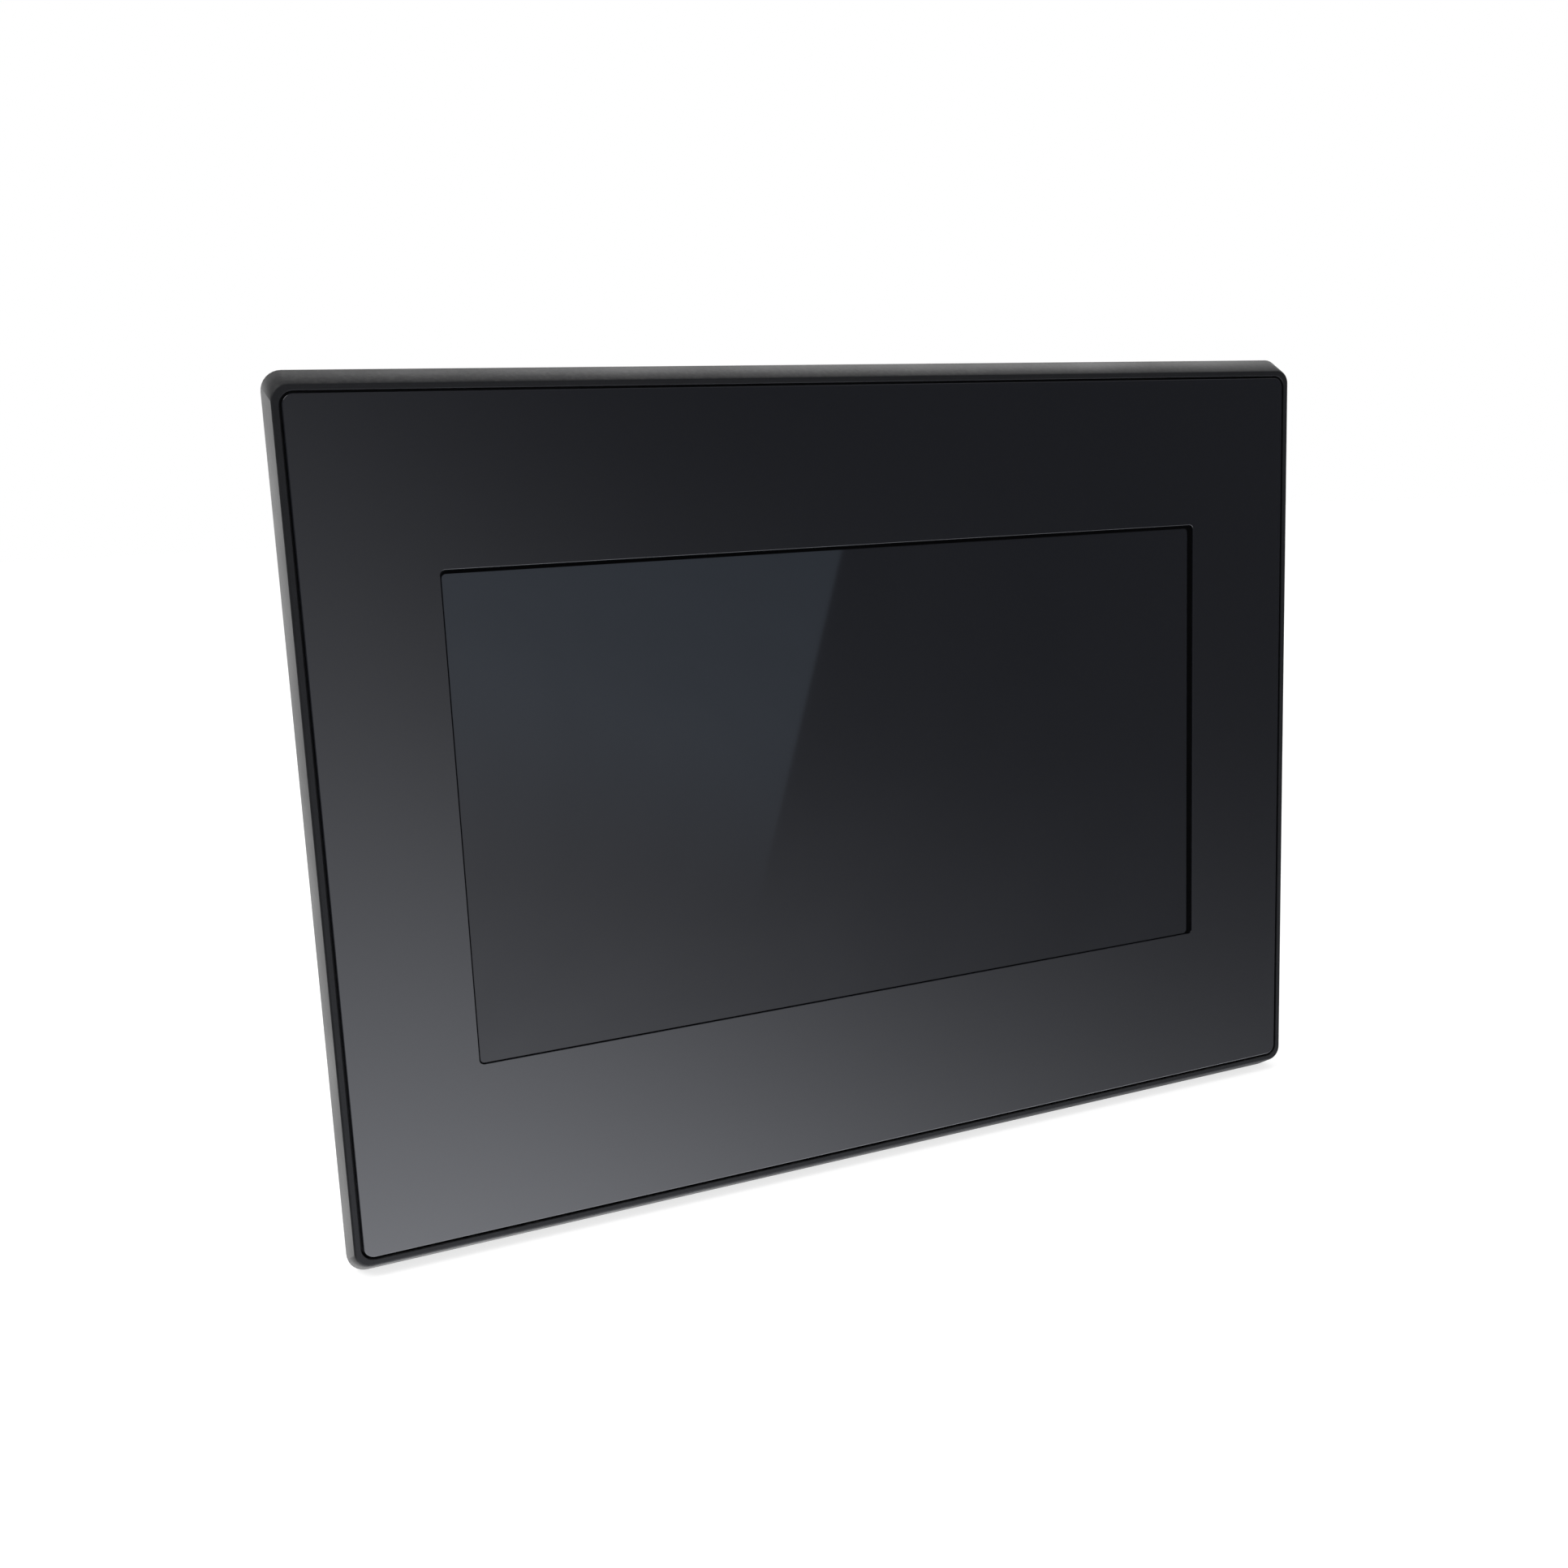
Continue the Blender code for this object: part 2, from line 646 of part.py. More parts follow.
def make_board(board, chip, metal, black, can):
    left, right = board_sides()
    top = BODY_TOP - BOARD_TOP
    outline = rectangle(left, right, BOARD_BOTTOM, top)
    piece("main_board", prism(outline, BOARD_FRONT, BOARD_BACK), board)
    half = CHIP / 2
    under = BOARD_FRONT - GAP
    square = rounded(CHIP, CHIP, CHAMFER, 1)
    piece("main_chip", prism(square, under - CHIP_HEIGHT, under), chip, (0, 0, UPPER_MIDDLE))
    base = under - CHIP_HEIGHT - GAP
    plate = ((-half, half), (base - FIN_BASE, base), (-half, half))
    starts = [-half + (CHIP - FIN) * i / (FINS - 1) for i in range(FINS)]
    fin_depth = (base - FIN_HEIGHT, base - FIN_BASE / 2)
    fins = [((x, x + FIN), fin_depth, (-half, half)) for x in starts]
    sink = piece("heat_spreader", blocks(plate), metal, (0, 0, UPPER_MIDDLE))
    join(sink, blocks(*fins), "fins")
    buzzer = prism(circle(BUZZER_RADIUS, 20), ON_BOARD, ON_BOARD + BUZZER_HEIGHT)
    buzzer = piece("buzzer", buzzer, black, (left + BUZZER_INSET, 0, UPPER_MIDDLE))
    hole = prism(circle(BUZZER_HOLE, 10), ON_BOARD + BUZZER_FLOOR, BODY_BACK)
    cut(buzzer, hole, "sound_hole")
    shape = bmesh.new()
    end = ON_BOARD + CAPACITOR_HEIGHT
    stack(shape, [
        (circle(CAPACITOR_RADIUS, 20), ON_BOARD),
        (circle(CAPACITOR_RADIUS, 20), end - CHAMFER),
        (circle(CAPACITOR_RADIUS - CHAMFER, 20), end),
    ])
    at = (right - CAPACITOR_INSET, 0, BOARD_BOTTOM + CAPACITOR_UP)
    piece("input_capacitor", shape, can, at)


# Ports on the step. Each is built with its mouth at z = 0, facing -Z, and its foot on the board.

def port_places():
    places = {}
    edge = BODY_SIDE - PORT_INSET
    for name, width in (
        ("power", POWER_WIDTH),
        ("network", NETWORK_WIDTH),
        ("usb_host", USB_WIDTH),
        ("usb_device", DEVICE_WIDTH),
        ("serial_a", SERIAL_WIDTH),
        ("serial_b", SERIAL_WIDTH),
    ):
        places[name] = edge - width / 2
        edge -= width + PORT_SPACE
    return places


PORTS = port_places()
MOUTH = STEP - PORT_PROUD


def room_box(size):
    width, front, back, depth = size
    return (-width / 2, width / 2), (front, back), (-WALL, depth)


def make_network_socket(material):
    half = NETWORK_WIDTH / 2
    at = (PORTS["network"], ON_BOARD, MOUTH)
    socket = blocks(((-half, half), (0, NETWORK_HEIGHT), (0, NETWORK_DEPTH)))
    socket = piece("network_socket", socket, material, at)
    cut(socket, blocks(room_box(NETWORK_ROOM)), "room")
    cut(socket, blocks(room_box(LATCH_ROOM)), "latch_room")


def make_usb_port(name, place_x, size, tongue, material):
    """A metal shell round a tongue. size is its width, height and depth."""
    width, height, depth = size
    half = width / 2
    port = blocks(((-half, half), (0, height), (0, depth)))
    port = piece(name, port, material, (place_x, ON_BOARD, MOUTH))
    room_back = depth - USB_FLOOR
    inner = half - PORT_SHELL
    room = ((-inner, inner), (PORT_SHELL, height - PORT_SHELL), (-WALL, room_back))
    cut(port, blocks(room), "room")
    wide, thick, long = tongue
    middle = height / 2
    across = (-wide / 2, wide / 2)
    through = (middle - thick / 2, middle + thick / 2)
    along = (room_back - long, room_back + PORT_SHELL)
    join(port, blocks((across, through, along)), "tongue")


def contact_spots():
    """The nine contacts of a D connector: five in the long row, four in the short one."""
    long_row = [((i - 2) * CONTACT_PITCH, CONTACT_ROWS / 2) for i in range(5)]
    short_row = [((i - 1.5) * CONTACT_PITCH, -CONTACT_ROWS / 2) for i in range(4)]
    return long_row + short_row


def make_serial_port(name, place_x, pins, metal):
    """Flange behind the wall, a D shell through it, and contacts in the shell."""
    flange = STEP + WALL + GAP
    at = (place_x, ON_BOARD + SERIAL_HEIGHT / 2, flange)
    plate = rounded(SERIAL_WIDTH, SERIAL_HEIGHT, SERIAL_RADIUS, 2)
    port = piece(name, prism(plate, 0, SERIAL_FLANGE, "Z"), metal, at)
    shell = d_shape(SERIAL_SHELL_WIDTH, SERIAL_SHELL_HEIGHT)
    join(port, prism(shell, -SERIAL_SHELL_OUT, SERIAL_FLANGE / 2, "Z"), "shell")
    body = rounded(SERIAL_BODY_WIDTH, SERIAL_HEIGHT - 2 * SERIAL_BODY_INSET, CHAMFER, 1)
    join(port, prism(body, SERIAL_FLANGE / 2, SERIAL_BODY_DEPTH, "Z"), "body")
    if pins:
        room = d_shape(SERIAL_SHELL_WIDTH - 2 * SERIAL_SHELL, SERIAL_SHELL_HEIGHT - 2 * SERIAL_SHELL)
        cut(port, prism(room, -2 * SERIAL_SHELL_OUT, -SERIAL_SHELL, "Z"), "room")
        rods = [circle(CONTACT_RADIUS, 8, middle) for middle in contact_spots()]
        join(port, prisms(rods, CONTACT_INSET - SERIAL_SHELL_OUT, 0, "Z"), "contacts")
    else:
        wells = [circle(CONTACT_RADIUS, 8, middle) for middle in contact_spots()]
        well_end = SERIAL_WELL - SERIAL_SHELL_OUT
        cut(port, prisms(wells, -2 * SERIAL_SHELL_OUT, well_end, "Z"), "contacts")
    sides = [circle(JACK_SHANK + GAP, 12, (side * JACK_SPACE / 2, 0)) for side in (-1, 1)]
    cut(port, prisms(sides, -WALL, SERIAL_FLANGE + WALL, "Z"), "screw_holes")


def make_jack_screws(material):
    shape = bmesh.new()
    stack(shape, [
        (circle(JACK_RADIUS - CHAMFER, 6), -JACK_LENGTH),
        (circle(JACK_RADIUS, 6), CHAMFER - JACK_LENGTH),
        (circle(JACK_RADIUS, 6), 0),
    ], "Z")
    hexagon = mesh_of("jack_screw", shape)
    hexagon.materials.append(material)
    number = 1
    for port in ("serial_a", "serial_b"):
        for side in (1, -1):
            at = (PORTS[port] + side * JACK_SPACE / 2, ON_BOARD + SERIAL_HEIGHT / 2, STEP - GAP)
            screw = place(f"jack_screw_{number}", hexagon, None, at)
            shank = prism(circle(JACK_SHANK, 12), -JACK_LENGTH / 4, WALL + 4 * SERIAL_FLANGE, "Z")
            join(screw, shank, "shank")
            bore = prism(circle(JACK_BORE, 10), -2 * JACK_LENGTH, -JACK_LENGTH / 2, "Z")
            cut(screw, bore, "bore")
            number += 1


def wire_spots():
    return [(i - (WIRES - 1) / 2) * WIRE_PITCH for i in range(WIRES)]


def make_power(green, metal):
    half = POWER_WIDTH / 2
    at = (PORTS["power"], ON_BOARD, MOUTH)
    header = blocks(((-half, half), (0, POWER_HEIGHT), (0, POWER_DEPTH)))
    header = piece("power_header", header, green, at)
    inner = half - POWER_WALL
    depth = POWER_DEPTH - POWER_FLOOR
    room = ((-inner, inner), (POWER_WALL, POWER_HEIGHT - POWER_WALL), (-WALL, depth))
    cut(header, blocks(room), "room")
    middle = POWER_HEIGHT / 2
    pins = row_of_boxes(PIN / 2, (middle - PIN / 2, middle + PIN / 2), (PIN_SINK, depth + CHAMFER))
    join(header, pins, "pins")
    nose = inner - GAP
    low, high = POWER_WALL + GAP, POWER_HEIGHT - POWER_WALL - GAP
    plug = blocks(((-nose, nose), (low, high), (-PLUG_LENGTH / 2, depth - GAP)))
    plug = piece("power_plug", plug, green, at)
    wide = nose + PLUG_SIDE
    back = high + PLUG_BACK
    join(plug, blocks(((-wide, wide), (low, back), (-PLUG_LENGTH, -PLUG_SPLIT))), "grip")
    room = PIN / 2 + GAP
    slots = row_of_boxes(room, (middle - room, middle + room), (PIN_SINK - GAP, POWER_DEPTH + WALL))
    cut(plug, slots, "pin_slots")
    front = low + WIRE_HOLE_FRONT
    holes_z = (-2 * PLUG_LENGTH, -WIRE_HOLE_END)
    cut(plug, row_of_boxes(WIRE_HOLE / 2, (front, front + WIRE_HOLE), holes_z), "wire_holes")
    floor = back - TERMINAL_SINK - TERMINAL_HEIGHT
    wells = [circle(TERMINAL_RADIUS + GAP, 16, (x, -TERMINAL_DOWN)) for x in wire_spots()]
    cut(plug, prisms(wells, floor - GAP, back + WALL), "screw_wells")
    shape = bmesh.new()
    stack(shape, [
        (circle(TERMINAL_RADIUS, 16), 0),
        (circle(TERMINAL_RADIUS, 16), TERMINAL_HEIGHT - GAP),
        (circle(TERMINAL_RADIUS - GAP, 16), TERMINAL_HEIGHT),
    ])
    head = mesh_of("terminal_screw", shape)
    head.materials.append(metal)
    for number, x in enumerate(wire_spots(), 1):
        screw = place(f"terminal_screw_{number}", head, plug, (x, floor, -TERMINAL_DOWN))
        slot = ((-WALL, WALL), (TERMINAL_HEIGHT * 0.75, 2 * TERMINAL_HEIGHT), (-GAP, GAP))
        cut(screw, blocks(slot), "slot")


def row_of_boxes(half, y, z):
    """One box for each wire, side by side."""
    return blocks(*[((x - half, x + half), y, z) for x in wire_spots()])


# Lids. Each is built with its hinge axis along X, and reaches up along +Z, with its outside at +Y.

def lid_shape(length, reach):
    half = LID / 2
    turns = [radians(180 + 180 * i / 8) for i in range(9)]
    outline = [(half * cos(t), half * sin(t)) for t in turns] + [(half, reach), (-half, reach)]
    return prism(outline, -length / 2, length / 2, "X")


def lid_reach(pocket):
    return pocket - HINGE_GAP - LID / 2 - GAP


CARD_AXIS = (BODY_SIDE - LID_SINK - LID / 2, CARD_LID_FRONT + HINGE_GAP + LID / 2, CARD_UP)
LID_POCKET = LID + LID_SINK + GAP
BATTERY_LOW = BODY_TOP - BATTERY_TOP - BATTERY_LID_HEIGHT
BATTERY_AXIS = (0, BODY_BACK - LID_SINK - LID / 2, BATTERY_LOW + HINGE_GAP + LID / 2)
BATTERY_UP = BATTERY_LOW + BATTERY_LID_HEIGHT / 2


def make_card_slot(cover, metal):
    outward = Matrix(((0, 1, 0, 0), (0, 0, 1, 0), (1, 0, 0, 0), (0, 0, 0, 1)))
    hinge = pivot("card_hinge", CARD_AXIS, outward)
    lid = lid_shape(CARD_LID_LENGTH - 2 * GAP, lid_reach(CARD_LID_DEPTH))
    piece("card_cover", lid, cover, (0, 0, 0), hinge)
    mouth = BODY_SIDE - LID_POCKET - WALL - 2 * GAP
    half = CARD_SLOT_LENGTH / 2
    side = half + CARD_SOCKET_SIDE
    socket = blocks(((-CARD_SOCKET_DEPTH, 0), (0, CARD_SOCKET), (-side, side)))
    socket = piece("card_socket", socket, metal, (mouth, ON_BOARD, CARD_UP))
    across = (CARD_SOCKET_WALL, CARD_SOCKET - CARD_SOCKET_WALL)
    cut(socket, blocks(((WALL - CARD_SOCKET_DEPTH, WALL), across, (-half, half))), "room")


def make_battery_bay(cover, cell):
    hinge = pivot("battery_hinge", BATTERY_AXIS)
    lid = lid_shape(BATTERY_LID_WIDTH - 2 * GAP, lid_reach(BATTERY_LID_HEIGHT))
    piece("battery_cover", lid, cover, (0, 0, 0), hinge)
    shape = bmesh.new()
    half = BATTERY_LENGTH / 2
    shoulder = half - BATTERY_NOSE
    stack(shape, [
        (circle(BATTERY_RADIUS - CHAMFER), -half),
        (circle(BATTERY_RADIUS), CHAMFER - half),
        (circle(BATTERY_RADIUS), shoulder - CHAMFER),
        (circle(BATTERY_RADIUS - CHAMFER), shoulder),
        (circle(BATTERY_NOSE_RADIUS), shoulder),
        (circle(BATTERY_NOSE_RADIUS), half),
    ], "X")
    floor = ON_BOARD + GAP + BAY_FLOOR
    piece("battery", shape, cell, (0, floor + GAP + BATTERY_RADIUS, BATTERY_UP))


# End resistor switch and rating plate

SWITCH_X = -BODY_SIDE + SWITCH_INSET
SWITCH_Z = STEP + SWITCH_UP


def make_switch(body, lever):
    top = BODY_BACK - WALL - GAP
    half = SWITCH_WIDTH / 2
    high = SWITCH_HEIGHT / 2
    case = blocks(((-half, half), (ON_BOARD, top), (-high, high)))
    case = piece("resistor_switch", case, body, (SWITCH_X, 0, SWITCH_Z))
    run = (LEVER + LEVER_TRAVEL) / 2 + GAP
    slot = LEVER / 2 + GAP
    cut(case, blocks(((-run, run), (top - LEVER_SINK, BODY_BACK), (-slot, slot))), "lever_slot")
    front = top - LEVER_SINK + GAP
    knob = blocks(((-LEVER / 2, LEVER / 2), (front, BODY_BACK - GAP), (-LEVER / 2, LEVER / 2)))
    knob = piece("switch_lever", knob, lever, (SWITCH_X - LEVER_TRAVEL / 2, 0, SWITCH_Z))
    soften(knob, LEVER_EDGE)


def make_rating_plate(material):
    outline = rounded(PLATE_WIDTH, PLATE_HEIGHT, PLATE_RADIUS, 3)
    at = (0, BODY_BACK - LID_SINK - PLATE, STEP + PLATE_UP)
    piece("rating_plate", prism(outline, 0, PLATE), material, at)


# Rear cover

def body_ring(width, height, radius, middle, front, back):
    outline = rounded(width, height, radius, 5, (0, middle))
    edge = min(BACK_EDGE, radius / 2)
    smaller = rounded(width - 2 * edge, height - 2 * edge, radius - edge, 5, (0, middle))
    return [(outline, front), (outline, back - edge), (smaller, back)]


def make_rear_cover(material):
    shape = bmesh.new()
    stack(shape, body_ring(BODY_WIDTH, BODY_HEIGHT, BODY_RADIUS, 0, COVER_FRONT, STEP_BACK))
    cover = piece("rear_cover", shape, material)
    deep = bmesh.new()
    start = STEP_BACK - 2 * WALL
    stack(deep, body_ring(BODY_WIDTH, UPPER_HEIGHT, BODY_RADIUS, UPPER_MIDDLE, start, BODY_BACK))
    join(cover, deep, "deep_block")
    inner = BODY_WIDTH - 2 * WALL
    radius = BODY_RADIUS - WALL
    low_room = rounded(inner, BODY_HEIGHT - 2 * WALL, radius, 3)
    cut(cover, prism(low_room, 0, STEP_BACK - WALL), "low_room")
    deep_room = rounded(inner, UPPER_HEIGHT - 2 * WALL, radius, 3, (0, UPPER_MIDDLE))
    cut(cover, prism(deep_room, WALL, BODY_BACK - WALL), "deep_room")
    add_columns(cover)
    add_pockets(cover)
    cut_ports(cover)
    cut_vents(cover)
    hook_slots = []
    front = CLAMP_FRONT + CLAMP_LENGTH - HOOK_BACK - HOOK_LEG
    for side in (1, -1):
        for up in (1, -1):
            middle = side * CLAMP_SPREAD
            wide = (middle - HOOK_WIDTH / 2 - GAP, middle + HOOK_WIDTH / 2 + GAP)
            long = (front - HOOK_TOE - GAP, front + HOOK_LEG + GAP)
            high = sorted((up * (BODY_TOP - 2 * WALL), up * (BODY_TOP + WALL)))
            hook_slots.append((wide, long, high))
    cut(cover, blocks(*hook_slots), "hook_slots")
    return cover


def screw_seats():
    """Each cover screw's corner, and the face that its head is sunk in."""
    return [(corner, BODY_BACK if corner[1] > 0 else STEP_BACK) for corner in corners()]


def add_columns(cover):
    shape, holes, sinks = bmesh.new(), bmesh.new(), bmesh.new()
    foot = CHASSIS_BACK + GAP
    for corner, face in screw_seats():
        column = circle(COLUMN_RADIUS, 20, corner)
        stack(shape, [(column, foot), (column, face - WALL / 2)])
        hole = circle(HOLE_RADIUS, 12, corner)
        stack(holes, [(hole, 0), (hole, face + WALL)])
        sink = circle(SCREW_HEAD_RADIUS + GAP, 20, corner)
        stack(sinks, [(sink, face - SCREW_SINK), (sink, face + WALL)])
    join(cover, shape, "columns")
    cut(cover, holes, "screw_holes")
    cut(cover, sinks, "screw_sinks")


def add_pockets(cover):
    """Pads inside the walls, then the pockets of both lids, the battery bay and the rating plate."""
    pad = LID_POCKET + WALL
    side_pad = (BODY_SIDE - pad, BODY_SIDE - WALL / 2)
    long = CARD_LID_LENGTH / 2
    deep = (CARD_LID_FRONT - WALL, BODY_BACK - WALL / 2)
    join(cover, blocks((side_pad, deep, (CARD_UP - long - WALL, CARD_UP + long + WALL))), "card_pad")
    wide = BATTERY_LID_WIDTH / 2
    high = BATTERY_LID_HEIGHT / 2
    back_pad = (BODY_BACK - pad, BODY_BACK - WALL / 2)
    rim = (BATTERY_UP - high - WALL, BATTERY_UP + high + WALL)
    join(cover, blocks(((-wide - WALL, wide + WALL), back_pad, rim)), "battery_pad")
    floor = ON_BOARD + GAP
    room = (BATTERY_LENGTH + BATTERY_ROOM) / 2
    bay = (BATTERY_UP - BAY_HEIGHT / 2, BATTERY_UP + BAY_HEIGHT / 2)
    box = (bay[0] - BAY_FLOOR, bay[1] + BAY_FLOOR)
    case = ((-room - BAY_FLOOR, room + BAY_FLOOR), (floor, BODY_BACK - pad + WALL / 2), box)
    join(cover, blocks(case), "battery_case")
    cut(cover, blocks(((-room, room), (floor + BAY_FLOOR, BODY_BACK + WALL), bay)), "battery_bay")
    pocket_y = (BODY_BACK - LID_POCKET, BODY_BACK + WALL)
    lid_z = (BATTERY_LOW, BATTERY_LOW + BATTERY_LID_HEIGHT)
    cut(cover, blocks(((-wide, wide), pocket_y, lid_z)), "battery_pocket")
    nail = NAIL_WIDTH / 2
    nail_z = (lid_z[1] - WALL, lid_z[1] + NAIL)
    nail_y = (BODY_BACK - LID, BODY_BACK + WALL)
    cut(cover, blocks(((-nail, nail), nail_y, nail_z)), "battery_nail")
    pocket_x = (BODY_SIDE - LID_POCKET, BODY_SIDE + WALL)
    lid_y = (CARD_LID_FRONT, CARD_LID_FRONT + CARD_LID_DEPTH)
    cut(cover, blocks((pocket_x, lid_y, (CARD_UP - long, CARD_UP + long))), "card_pocket")
    nail_y = (lid_y[1] - WALL, lid_y[1] + NAIL)
    nail_x = (BODY_SIDE - LID, BODY_SIDE + WALL)
    cut(cover, blocks((nail_x, nail_y, (CARD_UP - nail, CARD_UP + nail))), "card_nail")
    slot_x = (BODY_SIDE - 2 * pad, BODY_SIDE)
    middle = ON_BOARD + CARD_SOCKET / 2
    slot_y = (middle - CARD_SLOT / 2, middle + CARD_SLOT / 2)
    slot_z = (CARD_UP - CARD_SLOT_LENGTH / 2, CARD_UP + CARD_SLOT_LENGTH / 2)
    cut(cover, blocks((slot_x, slot_y, slot_z)), "card_slot")
    wide, high = PLATE_WIDTH + 2 * GAP, PLATE_HEIGHT + 2 * GAP
    recess = rounded(wide, high, PLATE_RADIUS + GAP, 3, (0, STEP + PLATE_UP))
    cut(cover, prism(recess, BODY_BACK - LID_SINK - PLATE - GAP, BODY_BACK + WALL), "plate_recess")
    run = (LEVER + LEVER_TRAVEL) / 2 + 3 * GAP
    slot = LEVER / 2 + GAP
    window = rectangle(SWITCH_X - run, SWITCH_X + run, SWITCH_Z - slot, SWITCH_Z + slot)
    cut(cover, prism(window, BODY_BACK - 2 * WALL, BODY_BACK + WALL), "switch_window")


def cut_ports(cover):
    low, high = STEP - WALL, STEP + 1.5 * WALL
    sizes = {
        "power": (POWER_WIDTH, POWER_HEIGHT),
        "network": (NETWORK_WIDTH, NETWORK_HEIGHT),
        "usb_host": (USB_WIDTH, USB_HEIGHT),
        "usb_device": (DEVICE_WIDTH, DEVICE_HEIGHT),
    }
    for name, (width, height) in sizes.items():
        half = width / 2 + GAP
        front = ON_BOARD - GAP
        hole = ((PORTS[name] - half, PORTS[name] + half), (front, ON_BOARD + height + GAP))
        cut(cover, blocks((*hole, (low, high))), f"{name}_hole")
    middle = ON_BOARD + SERIAL_HEIGHT / 2
    for name in ("serial_a", "serial_b"):
        shell = d_shape(SERIAL_SHELL_WIDTH + 2 * GAP, SERIAL_SHELL_HEIGHT + 2 * GAP)
        outline = [(x + PORTS[name], y + middle) for x, y in shell]
        cut(cover, prism(outline, low, high, "Z"), f"{name}_hole")
        sides = [PORTS[name] - JACK_SPACE / 2, PORTS[name] + JACK_SPACE / 2]
        holes = [circle(JACK_SHANK + GAP, 12, (x, middle)) for x in sides]
        cut(cover, prisms(holes, low, high, "Z"), f"{name}_screws")


def vent_row(count, middle=0.0):
    return [middle + (i - (count - 1) / 2) * VENT_PITCH for i in range(count)]


def cut_vents(cover):
    forward = (STEP_BACK + BODY_BACK) / 2 - VENT_FORWARD
    top = [
        rounded(VENT, TOP_VENT_LENGTH, VENT / 3, 1, (x, forward))
        for x in vent_row(TOP_VENTS)
    ]
    cut(cover, prisms(top, BODY_TOP - 2 * WALL, BODY_TOP + WALL, "Z"), "top_vents")
    away = (BATTERY_LID_WIDTH / 2 + BODY_SIDE) / 2 - WALL
    back = [
        rounded(VENT, BACK_VENT_LENGTH, VENT / 3, 1, (x, BATTERY_UP))
        for side in (1, -1)
        for x in vent_row(BACK_VENTS, side * away)
    ]
    cut(cover, prisms(back, BODY_BACK - 1.5 * WALL, BODY_BACK + WALL), "back_vents")
    sides = [
        rounded(SIDE_VENT_LENGTH, VENT, VENT / 3, 1, (forward, z))
        for z in vent_row(SIDE_VENTS, UPPER_MIDDLE)
    ]
    cut(cover, prisms(sides, -BODY_SIDE - WALL, -BODY_SIDE + 2 * WALL, "X"), "side_vents")


def make_cover_screws(material):
    for number, (corner, face) in enumerate(screw_seats(), 1):
        seat = face - SCREW_SINK + GAP
        shape = bmesh.new()
        stack(shape, [
            (circle(SCREW_RADIUS, 24), GAP),
            (circle(SCREW_RADIUS, 24), seat),
            (circle(SCREW_HEAD_RADIUS, 24), seat),
            (circle(SCREW_HEAD_RADIUS, 24), seat + SCREW_HEAD - CHAMFER),
            (circle(SCREW_HEAD_RADIUS - CHAMFER, 24), seat + SCREW_HEAD),
        ])
        screw = piece(f"cover_screw_{number}", shape, material, (corner[0], 0, corner[1]))
        cross_slots(screw, seat + SCREW_HEAD, COVER_SLOT)


def cross_slots(screw, face, size):
    reach, half, deep = size
    y = (face - deep, face + deep)
    cut(screw, blocks(((-reach, reach), y, (-half, half))), "slot_across")
    cut(screw, blocks(((-half, half), y, (-reach, reach))), "slot_up")


# Mounting clamps. Each is built with its screw's axis along Y through its origin, and +Z away from the body.

def make_clamps(bracket_finish, steel, foot_finish):
    back = CLAMP_FRONT + CLAMP_LENGTH
    under = GAP - CLAMP_AXIS
    wide = CLAMP_WIDTH / 2
    bracket = blocks(((-wide, wide), (CLAMP_FRONT, back), (under, CLAMP_TOP)))
    bracket = mesh_of("clamp_bracket", bracket)
    bracket.materials.append(bracket_finish)
    leg_back = back - HOOK_BACK
    leg_front = leg_back - HOOK_LEG
    toe_top = -CLAMP_AXIS - WALL - GAP
    hook_wide = HOOK_WIDTH / 2
    leg = ((-hook_wide, hook_wide), (leg_front, leg_back), (toe_top - WALL / 2, under + WALL / 2))
    toe = ((-hook_wide, hook_wide), (leg_front, leg_back + HOOK_TOE), (toe_top - HOOK_THICK, toe_top))
    socket_floor = FOOT_FRONT + FOOT_THICK - FOOT_SOCKET
    tip = socket_floor + GAP
    head_front = back + FEED + HEAD_ROOM
    screw = bmesh.new()
    stack(screw, [
        (circle(THREAD_RADIUS - CHAMFER, 24), tip),
        (circle(THREAD_RADIUS, 24), tip + CHAMFER),
        (circle(THREAD_RADIUS, 24), head_front),
        (circle(CLAMP_HEAD_RADIUS, 24), head_front),
        (circle(CLAMP_HEAD_RADIUS, 24), head_front + CLAMP_HEAD - CHAMFER),
        (circle(CLAMP_HEAD_RADIUS - CHAMFER, 24), head_front + CLAMP_HEAD),
    ])
    screw = mesh_of("clamp_screw", screw)
    screw.materials.append(steel)
    foot = bmesh.new()
    stack(foot, [
        (circle(FOOT_RADIUS - CHAMFER, 24), FOOT_FRONT),
        (circle(FOOT_RADIUS, 24), FOOT_FRONT + CHAMFER),
        (circle(FOOT_RADIUS, 24), FOOT_FRONT + FOOT_THICK),
    ])
    foot = mesh_of("clamp_foot", foot)
    foot.materials.append(foot_finish)
    number = 1
    for up in (1, -1):
        for side in (1, -1):
            at = (side * CLAMP_SPREAD, 0, up * (BODY_TOP + CLAMP_AXIS))
            turn = Matrix.Rotation(0 if up > 0 else pi, 4, "Y")
            axis = pivot(f"clamp_axis_{number}", at, turn)
            body = place(f"clamp_bracket_{number}", bracket, axis)
            join(body, blocks(leg), "leg")
            join(body, blocks(toe), "toe")
            hole = prism(circle(THREAD_RADIUS + GAP, 24), 0, BODY_BACK)
            cut(body, hole, "thread")
            turned = place(f"clamp_screw_{number}", screw, axis)
            cross_slots(turned, head_front + CLAMP_HEAD, CLAMP_SLOT)
            pad = place(f"clamp_foot_{number}", foot, axis)
            socket = prism(circle(THREAD_RADIUS + GAP, 24), socket_floor, BODY_BACK)
            cut(pad, socket, "socket")
            number += 1


